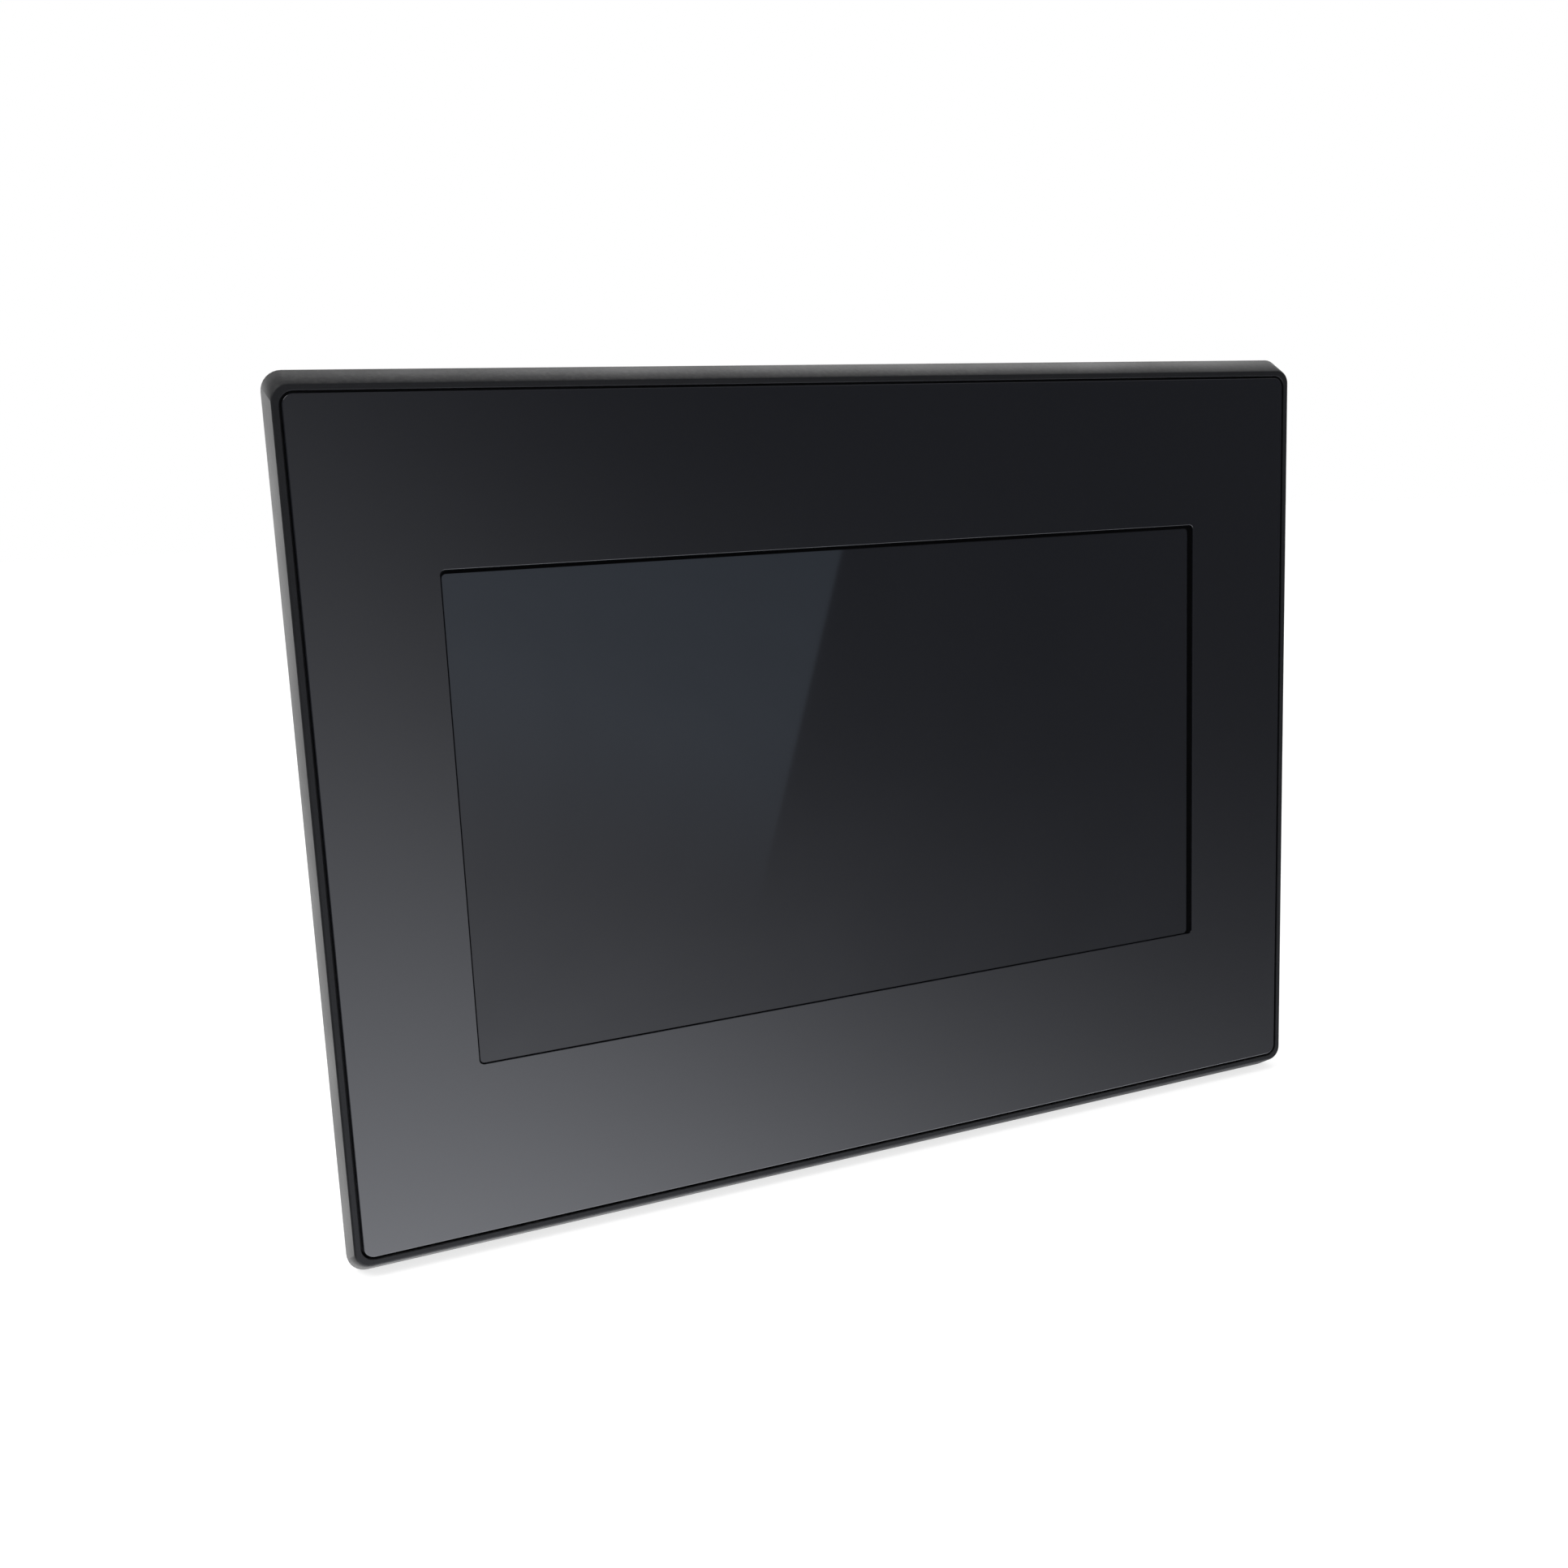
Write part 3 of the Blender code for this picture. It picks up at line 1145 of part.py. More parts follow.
def main():
    for thing in list(bpy.data.objects):
        bpy.data.objects.remove(thing)
    black = finish("black_moulding", (0.016, 0.017, 0.019), 0.42)
    gloss = finish("black_sheet", (0.008, 0.009, 0.011), 0.12)
    film = finish("touch_film", (0.012, 0.014, 0.017), 0.06)
    glass = finish("touch_glass", (0.30, 0.33, 0.35), 0.05)
    rubber = finish("seal_rubber", (0.02, 0.02, 0.02), 0.75)
    housing = finish("housing_moulding", (0.035, 0.037, 0.040), 0.55)
    zinc = finish("zinc_plate", (0.62, 0.63, 0.64), 0.35, 1.0)
    tinned = finish("tinned_shell", (0.70, 0.70, 0.69), 0.28, 1.0)
    board = finish("board_laminate", (0.03, 0.16, 0.08), 0.40)
    chip = finish("chip_moulding", (0.02, 0.02, 0.02), 0.50)
    aluminium = finish("fin_aluminium", (0.75, 0.76, 0.77), 0.35, 1.0)
    white = finish("white_film", (0.85, 0.86, 0.86), 0.55)
    lead = finish("flat_lead", (0.45, 0.22, 0.06), 0.40)
    green = finish("terminal_green", (0.03, 0.25, 0.10), 0.45)
    cell = finish("battery_wrap", (0.04, 0.10, 0.30), 0.35)
    lever = finish("lever_white", (0.80, 0.80, 0.78), 0.45)
    label = finish("label_silver", (0.62, 0.63, 0.65), 0.40)
    steel = finish("screw_steel", (0.60, 0.60, 0.58), 0.30, 1.0)

    make_front_bezel(black)
    make_panel_gasket(rubber)
    make_front_sheet(gloss)
    make_touch_panel(film, glass, rubber)
    make_display(film, white, glass, zinc, board)
    make_cables(lead)
    make_chassis_plate(zinc)
    make_board(board, chip, aluminium, chip, aluminium)
    make_rear_cover(housing)
    make_cover_screws(steel)
    make_network_socket(tinned)
    host = (USB_WIDTH, USB_HEIGHT, USB_DEPTH)
    make_usb_port("usb_host_port", PORTS["usb_host"], host, USB_TONGUE, tinned)
    device = (DEVICE_WIDTH, DEVICE_HEIGHT, DEVICE_DEPTH)
    make_usb_port("usb_device_port", PORTS["usb_device"], device, DEVICE_TONGUE, tinned)
    make_serial_port("serial_port_a", PORTS["serial_a"], False, tinned)
    make_serial_port("serial_port_b", PORTS["serial_b"], True, tinned)
    make_jack_screws(steel)
    make_power(green, steel)
    make_card_slot(housing, tinned)
    make_battery_bay(housing, cell)
    make_switch(chip, lever)
    make_rating_plate(label)
    make_clamps(zinc, steel, chip)


main()
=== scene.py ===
import json
from math import cos, pi, radians, sin

import bmesh
import bpy
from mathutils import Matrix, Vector


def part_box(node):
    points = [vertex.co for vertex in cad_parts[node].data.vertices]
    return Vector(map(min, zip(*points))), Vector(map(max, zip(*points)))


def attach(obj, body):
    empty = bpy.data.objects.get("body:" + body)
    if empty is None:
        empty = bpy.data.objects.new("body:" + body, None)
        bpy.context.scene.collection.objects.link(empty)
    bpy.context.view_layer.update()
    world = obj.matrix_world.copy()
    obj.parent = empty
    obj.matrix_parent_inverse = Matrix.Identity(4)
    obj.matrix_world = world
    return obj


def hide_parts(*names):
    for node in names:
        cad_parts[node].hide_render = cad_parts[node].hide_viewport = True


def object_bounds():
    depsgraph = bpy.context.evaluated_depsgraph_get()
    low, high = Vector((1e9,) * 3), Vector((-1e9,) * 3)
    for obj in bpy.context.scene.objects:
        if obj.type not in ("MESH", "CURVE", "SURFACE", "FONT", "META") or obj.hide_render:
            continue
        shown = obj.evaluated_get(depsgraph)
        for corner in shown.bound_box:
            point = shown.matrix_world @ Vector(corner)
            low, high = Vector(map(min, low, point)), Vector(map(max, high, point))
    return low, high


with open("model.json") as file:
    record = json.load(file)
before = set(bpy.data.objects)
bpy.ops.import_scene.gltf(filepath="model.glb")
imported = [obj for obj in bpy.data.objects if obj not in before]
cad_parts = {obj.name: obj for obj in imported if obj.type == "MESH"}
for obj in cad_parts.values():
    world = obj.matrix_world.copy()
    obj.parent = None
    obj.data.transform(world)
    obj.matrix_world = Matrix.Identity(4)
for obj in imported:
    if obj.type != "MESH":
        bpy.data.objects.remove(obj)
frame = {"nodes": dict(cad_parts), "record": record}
cadLow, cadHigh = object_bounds()
cadNodes = frame["nodes"]
bodyOf = {node: body for body, nodes in frame["record"]["behaviour"]["bodies"].items() for node in nodes}
slotOf = {part["node"]: part["material_slot"] for part in frame["record"]["subparts"]}
print("frame loaded:", len(cadNodes), "nodes")


view = {
    "at": (-0.13605, -0.27515, 0.05516),
    "turn": (79.599, 2.47, -24.37),  # degrees
    "lens": 36.784,
    "sensor": 36.0,
}

studio = {
    "floorReach": 6.0,
    "floorTone": 0.34,
    "floorRough": 0.9,
    "floorGlow": 0.74,
    "skyTone": (1.0, 1.0, 1.0),
    "softLight": 0.95,  # what matt surfaces receive from all round
    "front": 0.10,  # what glossy surfaces see ahead of the panel
    "rear": 0.50,  # and behind it
    "rearRise": (-0.15, 0.5),  # where along Y the one turns into the other
    "overheadDim": 0.35,
    "sweepFrom": (4.3, -71.7),  # middle of the low sweep of light, sideways and up, degrees
    "sweepWidth": (22.7, 27.4),
    "sweepPeak": 17.0,
    "sweepMost": 5.0,
    "sweepTone": (0.96, 0.98, 1.05),
    "highAhead": 0.30,
    "highBand": (11, 24),  # where the high light starts and is full, degrees up
    "aheadFade": (0.2, -0.3),  # where along Y the light ahead starts and is full
    "rearPatches": (
        {"at": (202, -12), "reach": 60, "peak": 2.6},  # grazes the left side
        {"at": (146, 37), "reach": 65, "peak": 0.9},  # and the top
    ),
}


def put(tree, kind, links=None, **settings):
    made = tree.nodes.new(kind)
    for key, value in settings.items():
        setattr(made, key, value)
    for key, value in (links or {}).items():
        if isinstance(value, bpy.types.NodeSocket):
            tree.links.new(value, made.inputs[key])
        else:
            made.inputs[key].default_value = value
    return made


def maths(tree, operation, *values):
    links = dict(enumerate(values))
    return put(tree, "ShaderNodeMath", links, operation=operation).outputs[0]


def direction(sideways, up):
    a, e = radians(sideways), radians(up)
    return (sin(a) * cos(e), -cos(a) * cos(e), sin(e))


def makeCamera():
    camera = bpy.data.objects.new("viewCamera", bpy.data.cameras.new("viewCamera"))
    bpy.context.scene.collection.objects.link(camera)
    camera.location = view["at"]
    camera.rotation_euler = [radians(turn) for turn in view["turn"]]
    camera.data.lens = view["lens"]
    camera.data.sensor_width = view["sensor"]
    camera.data.clip_start = 0.01
    bpy.context.scene.camera = camera


def makeFloor():
    shape = bmesh.new()
    bmesh.ops.create_circle(shape, cap_ends=True, segments=64, radius=studio["floorReach"])
    mesh = bpy.data.meshes.new("floor")
    shape.to_mesh(mesh)
    shape.free()
    floor = bpy.data.objects.new("floor", mesh)
    bpy.context.scene.collection.objects.link(floor)
    floor.location = (0, 0, cadLow.z)
    floor.visible_glossy = False
    floor.visible_shadow = False
    material = bpy.data.materials.new("paleFloor")
    material.use_nodes = True
    shader = material.node_tree.nodes["Principled BSDF"]
    tone = studio["floorTone"]
    shader.inputs["Base Color"].default_value = (tone, tone, tone, 1)
    shader.inputs["Roughness"].default_value = studio["floorRough"]
    shader.inputs["Specular IOR Level"].default_value = 0.0
    shader.inputs["Emission Color"].default_value = (1, 1, 1, 1)
    shader.inputs["Emission Strength"].default_value = studio["floorGlow"]
    mesh.materials.append(material)


def makeSky():
    world = bpy.data.worlds.new("studio")
    bpy.context.scene.world = world
    world.use_nodes = True
    world.cycles.sampling_method = "NONE"
    tree = world.node_tree
    tree.nodes.clear()
    heading = put(tree, "ShaderNodeTexCoord").outputs["Generated"]
    parts = put(tree, "ShaderNodeSeparateXYZ", {0: heading})
    ray = put(tree, "ShaderNodeLightPath")
    # dim ahead of the panel, bright behind it
    start, full = studio["rearRise"]
    back = put(tree, "ShaderNodeMapRange", {
        "Value": parts.outputs["Y"], "From Min": start, "From Max": full,
        "To Min": studio["front"], "To Max": studio["rear"],
    }, interpolation_type="SMOOTHSTEP").outputs[0]
    back = maths(tree, "MULTIPLY", back, maths(tree, "SUBTRACT", 1.0, maths(
        tree, "MULTIPLY", maths(tree, "MAXIMUM", parts.outputs["Z"], 0.0), studio["overheadDim"])))
    for patch in studio["rearPatches"]:
        near = put(tree, "ShaderNodeVectorMath", {0: heading, 1: direction(*patch["at"])},
                   operation="DOT_PRODUCT").outputs["Value"]
        glow = put(tree, "ShaderNodeMapRange", {
            "Value": near, "From Min": cos(radians(patch["reach"])), "From Max": 1.0, "To Max": patch["peak"],
        }, interpolation_type="SMOOTHSTEP").outputs[0]
        back = maths(tree, "ADD", back, glow)
    # the low sweep of light under the camera
    forward = Vector(direction(*studio["sweepFrom"]))
    side = forward.cross((0, 0, 1)).normalized()
    axes = [put(tree, "ShaderNodeVectorMath", {0: heading, 1: tuple(axis)}, operation="DOT_PRODUCT")
            for axis in (forward, side, side.cross(forward))]
    along, *across = [axis.outputs["Value"] for axis in axes]
    fall = 0.0
    for part, width in zip(across, studio["sweepWidth"]):
        away = maths(tree, "DIVIDE", maths(tree, "ARCTAN2", part, along), radians(width))
        fall = maths(tree, "MULTIPLY_ADD", maths(tree, "MULTIPLY", away, away), -0.5, fall)
    fall = maths(tree, "EXPONENT", fall)
    sweep = maths(tree, "MINIMUM", maths(tree, "MULTIPLY", fall, studio["sweepPeak"]), studio["sweepMost"])
    # a faint high panel of light ahead
    up = maths(tree, "ARCSINE", parts.outputs["Z"])
    start, full = [radians(angle) for angle in studio["highBand"]]
    high = put(tree, "ShaderNodeMapRange", {
        "Value": up, "From Min": start, "From Max": full, "To Max": studio["highAhead"],
    }, interpolation_type="SMOOTHSTEP").outputs[0]
    start, full = studio["aheadFade"]
    ahead = put(tree, "ShaderNodeMapRange", {
        "Value": parts.outputs["Y"], "From Min": start, "From Max": full,
    }, interpolation_type="SMOOTHSTEP").outputs[0]
    sweep = maths(tree, "MULTIPLY", maths(tree, "ADD", sweep, high), ahead)
    tinted = put(tree, "ShaderNodeVectorMath", {0: studio["sweepTone"], "Scale": sweep},
                 operation="SCALE").outputs[0]
    even = put(tree, "ShaderNodeCombineXYZ", {0: back, 1: back, 2: back}).outputs[0]
    gloss = put(tree, "ShaderNodeVectorMath", {0: tinted, 1: even}, operation="ADD").outputs[0]
    tone = (*studio["skyTone"], 1)
    soft = put(tree, "ShaderNodeBackground", {"Color": tone, "Strength": studio["softLight"]})
    shiny = put(tree, "ShaderNodeBackground", {"Color": gloss, "Strength": 1.0})
    clear = put(tree, "ShaderNodeBackground", {"Color": tone, "Strength": 1.0})
    lit = put(tree, "ShaderNodeMixShader", {
        0: ray.outputs["Is Glossy Ray"], 1: soft.outputs[0], 2: shiny.outputs[0]})
    seen = put(tree, "ShaderNodeMixShader", {
        0: ray.outputs["Is Camera Ray"], 1: lit.outputs[0], 2: clear.outputs[0]})
    put(tree, "ShaderNodeOutputWorld", {"Surface": seen.outputs[0]})


softboxes = {
    "topLeft": {"at": (-0.75, -0.15, 0.95), "size": 0.7, "power": 9.0},
    "rearRight": {"at": (0.55, 0.95, 0.75), "size": 0.8, "power": 4.0},
    "rearLeft": {"at": (-0.9, 0.75, 0.35), "size": 0.6, "power": 2.0},
}

windowCard = {
    "at": (0.0803, -1.2, 0.0440),
    "size": (1.0, 0.9),
    "lean": 17.4,  # degrees
    "power": 2.0,
    "tone": (0.78, 0.98, 1.24),
    "fade": (0.17, 0.42),  # where along the card its light starts and is full
}


def makeLight(name, at, size, power, target=(0, 0.02, 0)):
    lamp = bpy.data.lights.new(name, "AREA")
    lamp.shape = "RECTANGLE"
    lamp.size, lamp.size_y = size
    lamp.energy = power
    light = bpy.data.objects.new(name, lamp)
    bpy.context.scene.collection.objects.link(light)
    light.location = at
    light.rotation_mode = "QUATERNION"
    light.rotation_quaternion = (Vector(target) - Vector(at)).to_track_quat("-Z", "Y")
    light.visible_camera = False
    return light


def makeLights():
    for name, box in softboxes.items():
        makeLight(name, box["at"], (box["size"], box["size"]), box["power"])


# only the film shows this dim card, as the slanting edge across the screen
def makeWindowCard(film):
    light = makeLight("windowCard", windowCard["at"], windowCard["size"], windowCard["power"])
    light.rotation_mode = "XYZ"
    light.rotation_euler = (radians(90), radians(windowCard["lean"]), 0)
    light.visible_diffuse = False
    light.data.color = windowCard["tone"]
    only = bpy.data.collections.new("cardReceivers")
    only.objects.link(film)
    light.light_linking.receiver_collection = only
    lamp = light.data
    lamp.use_nodes = True
    tree = lamp.node_tree
    along = put(tree, "ShaderNodeSeparateXYZ", {0: put(tree, "ShaderNodeNewGeometry").outputs["Parametric"]})
    low, high = windowCard["fade"]
    fade = put(tree, "ShaderNodeMapRange", {
        "Value": along.outputs["Y"], "From Min": low, "From Max": high,
    }, interpolation_type="SMOOTHSTEP")
    tree.links.new(fade.outputs[0], tree.nodes["Emission"].inputs["Strength"])


makeCamera()
makeFloor()
makeSky()
makeLights()
bpy.context.scene.view_settings.view_transform = "Standard"
print("camera, floor and light are in place")


# an empty group for an effect that several finishes share
def newGroup(name, inputs, outputs):
    group = bpy.data.node_groups.new(name, "ShaderNodeTree")
    for label, value in inputs.items():
        group.interface.new_socket(label, in_out="INPUT", socket_type="NodeSocketFloat").default_value = value
    for label in outputs:
        group.interface.new_socket(label, in_out="OUTPUT", socket_type="NodeSocketFloat")
    return group, group.nodes.new("NodeGroupInput").outputs, group.nodes.new("NodeGroupOutput").inputs


def objectSpace(tree):
    return put(tree, "ShaderNodeTexCoord").outputs["Object"]


# spark-eroded mould grain: soft pits with fine noise between them
def makeGrain():
    tree, given, wanted = newGroup("mouldGrain", {"Scale": 2500.0}, ("Height", "Fleck"))
    space = objectSpace(tree)
    fine = put(tree, "ShaderNodeTexNoise", {
        "Vector": space, "Scale": given["Scale"], "Detail": 3.0, "Roughness": 0.6})
    pits = put(tree, "ShaderNodeTexVoronoi", {
        "Vector": space, "Scale": maths(tree, "MULTIPLY", given["Scale"], 0.55)}, feature="SMOOTH_F1")
    broad = put(tree, "ShaderNodeTexNoise", {
        "Vector": space, "Scale": maths(tree, "MULTIPLY", given["Scale"], 0.08), "Detail": 2.0})
    height = maths(tree, "MULTIPLY_ADD", pits.outputs["Distance"], 0.8, fine.outputs[0])
    tree.links.new(maths(tree, "MULTIPLY_ADD", broad.outputs[0], 0.4, height), wanted["Height"])
    fleck = put(tree, "ShaderNodeMapRange", {"Value": fine.outputs[0], "From Min": 0.35, "From Max": 0.7})
    tree.links.new(fleck.outputs[0], wanted["Fleck"])
    return tree


# where hands and cloths have been: a factor for roughness, around 1
def makeHandling():
    tree, given, wanted = newGroup("handling", {"Scale": 30.0, "Amount": 0.15}, ("Factor", "Patch"))
    space = objectSpace(tree)
    blots = put(tree, "ShaderNodeTexNoise", {
        "Vector": space, "Scale": given["Scale"], "Detail": 4.0, "Roughness": 0.6, "Distortion": 0.4})
    patch = put(tree, "ShaderNodeMapRange", {"Value": blots.outputs[0], "From Min": 0.3, "From Max": 0.7})
    tree.links.new(patch.outputs[0], wanted["Patch"])
    swing = maths(tree, "MULTIPLY", maths(tree, "SUBTRACT", patch.outputs[0], 0.5), 2.0)
    tree.links.new(maths(tree, "MULTIPLY_ADD", swing, given["Amount"], 1.0), wanted["Factor"])
    return tree


# 1 along outer edges that rub, broken up by noise
def makeEdgeWear():
    tree, given, wanted = newGroup("edgeWear", {"Radius": 0.0004, "Amount": 0.5}, ("Mask",))
    rounded = put(tree, "ShaderNodeBevel", {"Radius": given["Radius"]}, samples=4).outputs[0]
    flat = put(tree, "ShaderNodeNewGeometry").outputs["Normal"]
    match = put(tree, "ShaderNodeVectorMath", {0: rounded, 1: flat}, operation="DOT_PRODUCT").outputs["Value"]
    bend = put(tree, "ShaderNodeMapRange", {"Value": match, "From Min": 0.995, "From Max": 0.9}).outputs[0]
    rub = put(tree, "ShaderNodeTexNoise", {"Vector": objectSpace(tree), "Scale": 260.0, "Detail": 5.0})
    rub = put(tree, "ShaderNodeMapRange", {"Value": rub.outputs[0], "From Min": 0.4, "From Max": 0.65})
    worn = maths(tree, "MULTIPLY", bend, rub.outputs[0])
    tree.links.new(maths(tree, "MULTIPLY", worn, given["Amount"]), wanted["Mask"])
    return tree


# fine lines left by rolling or turning, along the local X axis
def makeBrush():
    tree, given, wanted = newGroup("brushLines", {"Scale": 900.0, "Stretch": 0.03}, ("Height", "Tone"))
    squeeze = put(tree, "ShaderNodeCombineXYZ", {0: given["Stretch"], 1: 1.0, 2: 1.0})
    space = put(tree, "ShaderNodeVectorMath", {0: objectSpace(tree), 1: squeeze.outputs[0]},
                operation="MULTIPLY")
    lines = put(tree, "ShaderNodeTexNoise", {
        "Vector": space.outputs[0], "Scale": given["Scale"], "Detail": 4.0, "Roughness": 0.7})
    tree.links.new(lines.outputs[0], wanted["Height"])
    tone = put(tree, "ShaderNodeMapRange", {
        "Value": lines.outputs[0], "From Min": 0.3, "From Max": 0.7, "To Min": 0.86, "To Max": 1.06})
    tree.links.new(tone.outputs[0], wanted["Tone"])
    return tree


# a thin settled layer on what faces up
def makeDust():
    tree, given, wanted = newGroup("settledDust", {"Amount": 0.1}, ("Mask",))
    up = put(tree, "ShaderNodeSeparateXYZ", {0: put(tree, "ShaderNodeNewGeometry").outputs["Normal"]})
    lying = put(tree, "ShaderNodeMapRange", {"Value": up.outputs["Z"], "From Min": 0.55, "From Max": 1.0})
    specks = put(tree, "ShaderNodeTexNoise", {"Vector": objectSpace(tree), "Scale": 1100.0, "Detail": 6.0})
    specks = put(tree, "ShaderNodeMapRange", {"Value": specks.outputs[0], "From Min": 0.42, "From Max": 0.75})
    cover = maths(tree, "MULTIPLY", lying.outputs[0], specks.outputs[0])
    tree.links.new(maths(tree, "MULTIPLY", cover, given["Amount"]), wanted["Mask"])
    return tree


effects = {
    "grain": makeGrain(),
    "handling": makeHandling(),
    "wear": makeEdgeWear(),
    "brush": makeBrush(),
    "dust": makeDust(),
}


def effect(tree, name, **values):
    made = tree.nodes.new("ShaderNodeGroup")
    made.node_tree = effects[name]
    for label, value in values.items():
        made.inputs[label].default_value = value
    return made.outputs


# a new material, with its even values set on the shader
def startFinish(name, plain=None):
    material = bpy.data.materials.new(name)
    material.use_nodes = True
    shader = material.node_tree.nodes["Principled BSDF"]
    for label, value in (plain or {}).items():
        shader.inputs[label].default_value = value
    return material, material.node_tree, shader.inputs


def tint(tree, low, high, mask):
    mixed = put(tree, "ShaderNodeMix", data_type="RGBA")
    for socket, value in ((mixed.inputs["Factor"], mask), (mixed.inputs[6], low), (mixed.inputs[7], high)):
        if isinstance(value, bpy.types.NodeSocket):
            tree.links.new(value, socket)
        else:
            socket.default_value = (*value, 1) if isinstance(value, tuple) else value
    return mixed.outputs[2]


plasticLook = {
    "low": 0.82,  # how dark the pits of the grain are
    "wornGain": 2.2,
    "wornLift": 0.01,
    "wornSheen": -0.12,  # what rubbing does to roughness
    "edge": 0.0004,
    "dustTone": (0.42, 0.41, 0.39),
    "dustRough": 0.5,
}


# moulded plastic: grain, patchy sheen, rubbed edges and a little dust
def plastic(name, colour, roughness, grain=2500.0, depth=0.00002, wear=0.4, dust=0.10,
            patches=30.0, uneven=0.12, soft=0.0, plain=None):
    look = plasticLook
    material, tree, shader = startFinish(name, plain)
    pits = effect(tree, "grain", Scale=grain)
    hands = effect(tree, "handling", Scale=patches, Amount=uneven)
    edges = effect(tree, "wear", Radius=look["edge"], Amount=wear)
    settled = effect(tree, "dust", Amount=dust)
    base = tint(tree, tuple(c * look["low"] for c in colour), colour, pits["Fleck"])
    rubbed = tuple(min(1, c * look["wornGain"] + look["wornLift"]) for c in colour)
    base = tint(tree, base, rubbed, edges["Mask"])
    base = tint(tree, base, look["dustTone"], settled["Mask"])
    tree.links.new(base, shader["Base Color"])
    rough = maths(tree, "MULTIPLY", hands["Factor"], roughness)
    rough = maths(tree, "ADD", rough, maths(tree, "MULTIPLY", settled["Mask"], look["dustRough"]))
    rough = maths(tree, "MULTIPLY_ADD", edges["Mask"], look["wornSheen"], rough)
    tree.links.new(rough, shader["Roughness"])
    bump = put(tree, "ShaderNodeBump", {"Height": pits["Height"], "Distance": depth, "Strength": 1.0})
    if soft:
        rounded = put(tree, "ShaderNodeBevel", {"Radius": soft}, samples=6)
        tree.links.new(rounded.outputs[0], bump.inputs["Normal"])
    tree.links.new(bump.outputs[0], shader["Normal"])
    return material


metalLook = {
    "low": 0.8,
    "stain": 0.86,
    "stained": 0.5,
    "wornGain": 1.15,
    "edge": 0.0003,
}


# plated or bare metal: brush lines, patchy sheen and brighter edges
def metal(name, colour, roughness, lines=900.0, stretch=0.03, depth=0.000004, wear=0.5,
          patches=60.0, uneven=0.2):
    look = metalLook
    material, tree, shader = startFinish(name, {"Metallic": 1.0})
    brush = effect(tree, "brush", Scale=lines, Stretch=stretch)
    hands = effect(tree, "handling", Scale=patches, Amount=uneven)
    edges = effect(tree, "wear", Radius=look["edge"], Amount=wear)
    base = tint(tree, tuple(c * look["low"] for c in colour), colour, brush["Tone"])
    patch = maths(tree, "MULTIPLY", hands["Patch"], look["stained"])
    stained = tint(tree, base, tuple(c * look["stain"] for c in colour), patch)
    rubbed = tuple(min(1, c * look["wornGain"]) for c in colour)
    tree.links.new(tint(tree, stained, rubbed, edges["Mask"]), shader["Base Color"])
    tree.links.new(maths(tree, "MULTIPLY", hands["Factor"], roughness), shader["Roughness"])
    bump = put(tree, "ShaderNodeBump", {"Height": brush["Height"], "Distance": depth, "Strength": 1.0})
    tree.links.new(bump.outputs[0], shader["Normal"])
    return material


frontSheetLook = {
    "colour": (0.0060, 0.0066, 0.0090),
    "roughness": 0.13,
    "wipes": 9.0,
    "ripple": 0.0000008,
}


# back-printed black sheet, hard-coated: wipe marks and a hint of ripple
def makeFrontSheetFinish():
    look = frontSheetLook
    material, tree, shader = startFinish("blackSheet")
    hands = effect(tree, "handling", Scale=look["wipes"], Amount=0.14)
    hairs = effect(tree, "brush", Scale=500.0, Stretch=0.02)
    fleck = effect(tree, "grain", Scale=4000.0)
    tree.links.new(tint(tree, tuple(c * 0.9 for c in look["colour"]), look["colour"], fleck["Fleck"]),
                   shader["Base Color"])
    rough = maths(tree, "MULTIPLY", hands["Factor"], look["roughness"])
    tree.links.new(maths(tree, "MULTIPLY_ADD", hairs["Height"], 0.02, rough), shader["Roughness"])
    ripple = put(tree, "ShaderNodeTexNoise", {"Vector": objectSpace(tree), "Scale": 60.0, "Detail": 1.0})
    bump = put(tree, "ShaderNodeBump", {
        "Height": ripple.outputs[0], "Distance": look["ripple"], "Strength": 1.0})
    tree.links.new(bump.outputs[0], shader["Normal"])
    return material


touchFilmLook = {
    "colour": (0.0072, 0.0078, 0.0102),
    "roughness": 0.42,
    "specular": 0.02,
    "coat": 0.55,
    "coatRoughness": 0.03,
}


# clear hard film over a dark display
def makeTouchFilmFinish():
    look = touchFilmLook
    plain = {"Coat Roughness": look["coatRoughness"], "Specular IOR Level": look["specular"]}
    material, tree, shader = startFinish("touchFilm", plain)
    hands = effect(tree, "handling", Scale=14.0, Amount=0.10)
    fleck = effect(tree, "grain", Scale=5200.0)
    tree.links.new(tint(tree, tuple(c * 0.93 for c in look["colour"]), look["colour"], fleck["Fleck"]),
                   shader["Base Color"])
    tree.links.new(maths(tree, "MULTIPLY", hands["Factor"], look["roughness"]), shader["Roughness"])
    tree.links.new(maths(tree, "MULTIPLY", hands["Factor"], look["coat"]), shader["Coat Weight"])
    return material


# brushed silver foil label under a clear film
def makeLabelFinish():
    material, tree, shader = startFinish("labelSilver", {"Metallic": 0.6})
    brush = effect(tree, "brush", Scale=2600.0, Stretch=0.012)
    hands = effect(tree, "handling", Scale=40.0, Amount=0.2)
    tree.links.new(tint(tree, (0.19, 0.193, 0.20), (0.27, 0.275, 0.29), brush["Tone"]), shader["Base Color"])
    tree.links.new(maths(tree, "MULTIPLY", hands["Factor"], 0.34), shader["Roughness"])
    bump = put(tree, "ShaderNodeBump", {"Height": brush["Height"], "Distance": 0.000003, "Strength": 1.0})
    tree.links.new(bump.outputs[0], shader["Normal"])
    return material


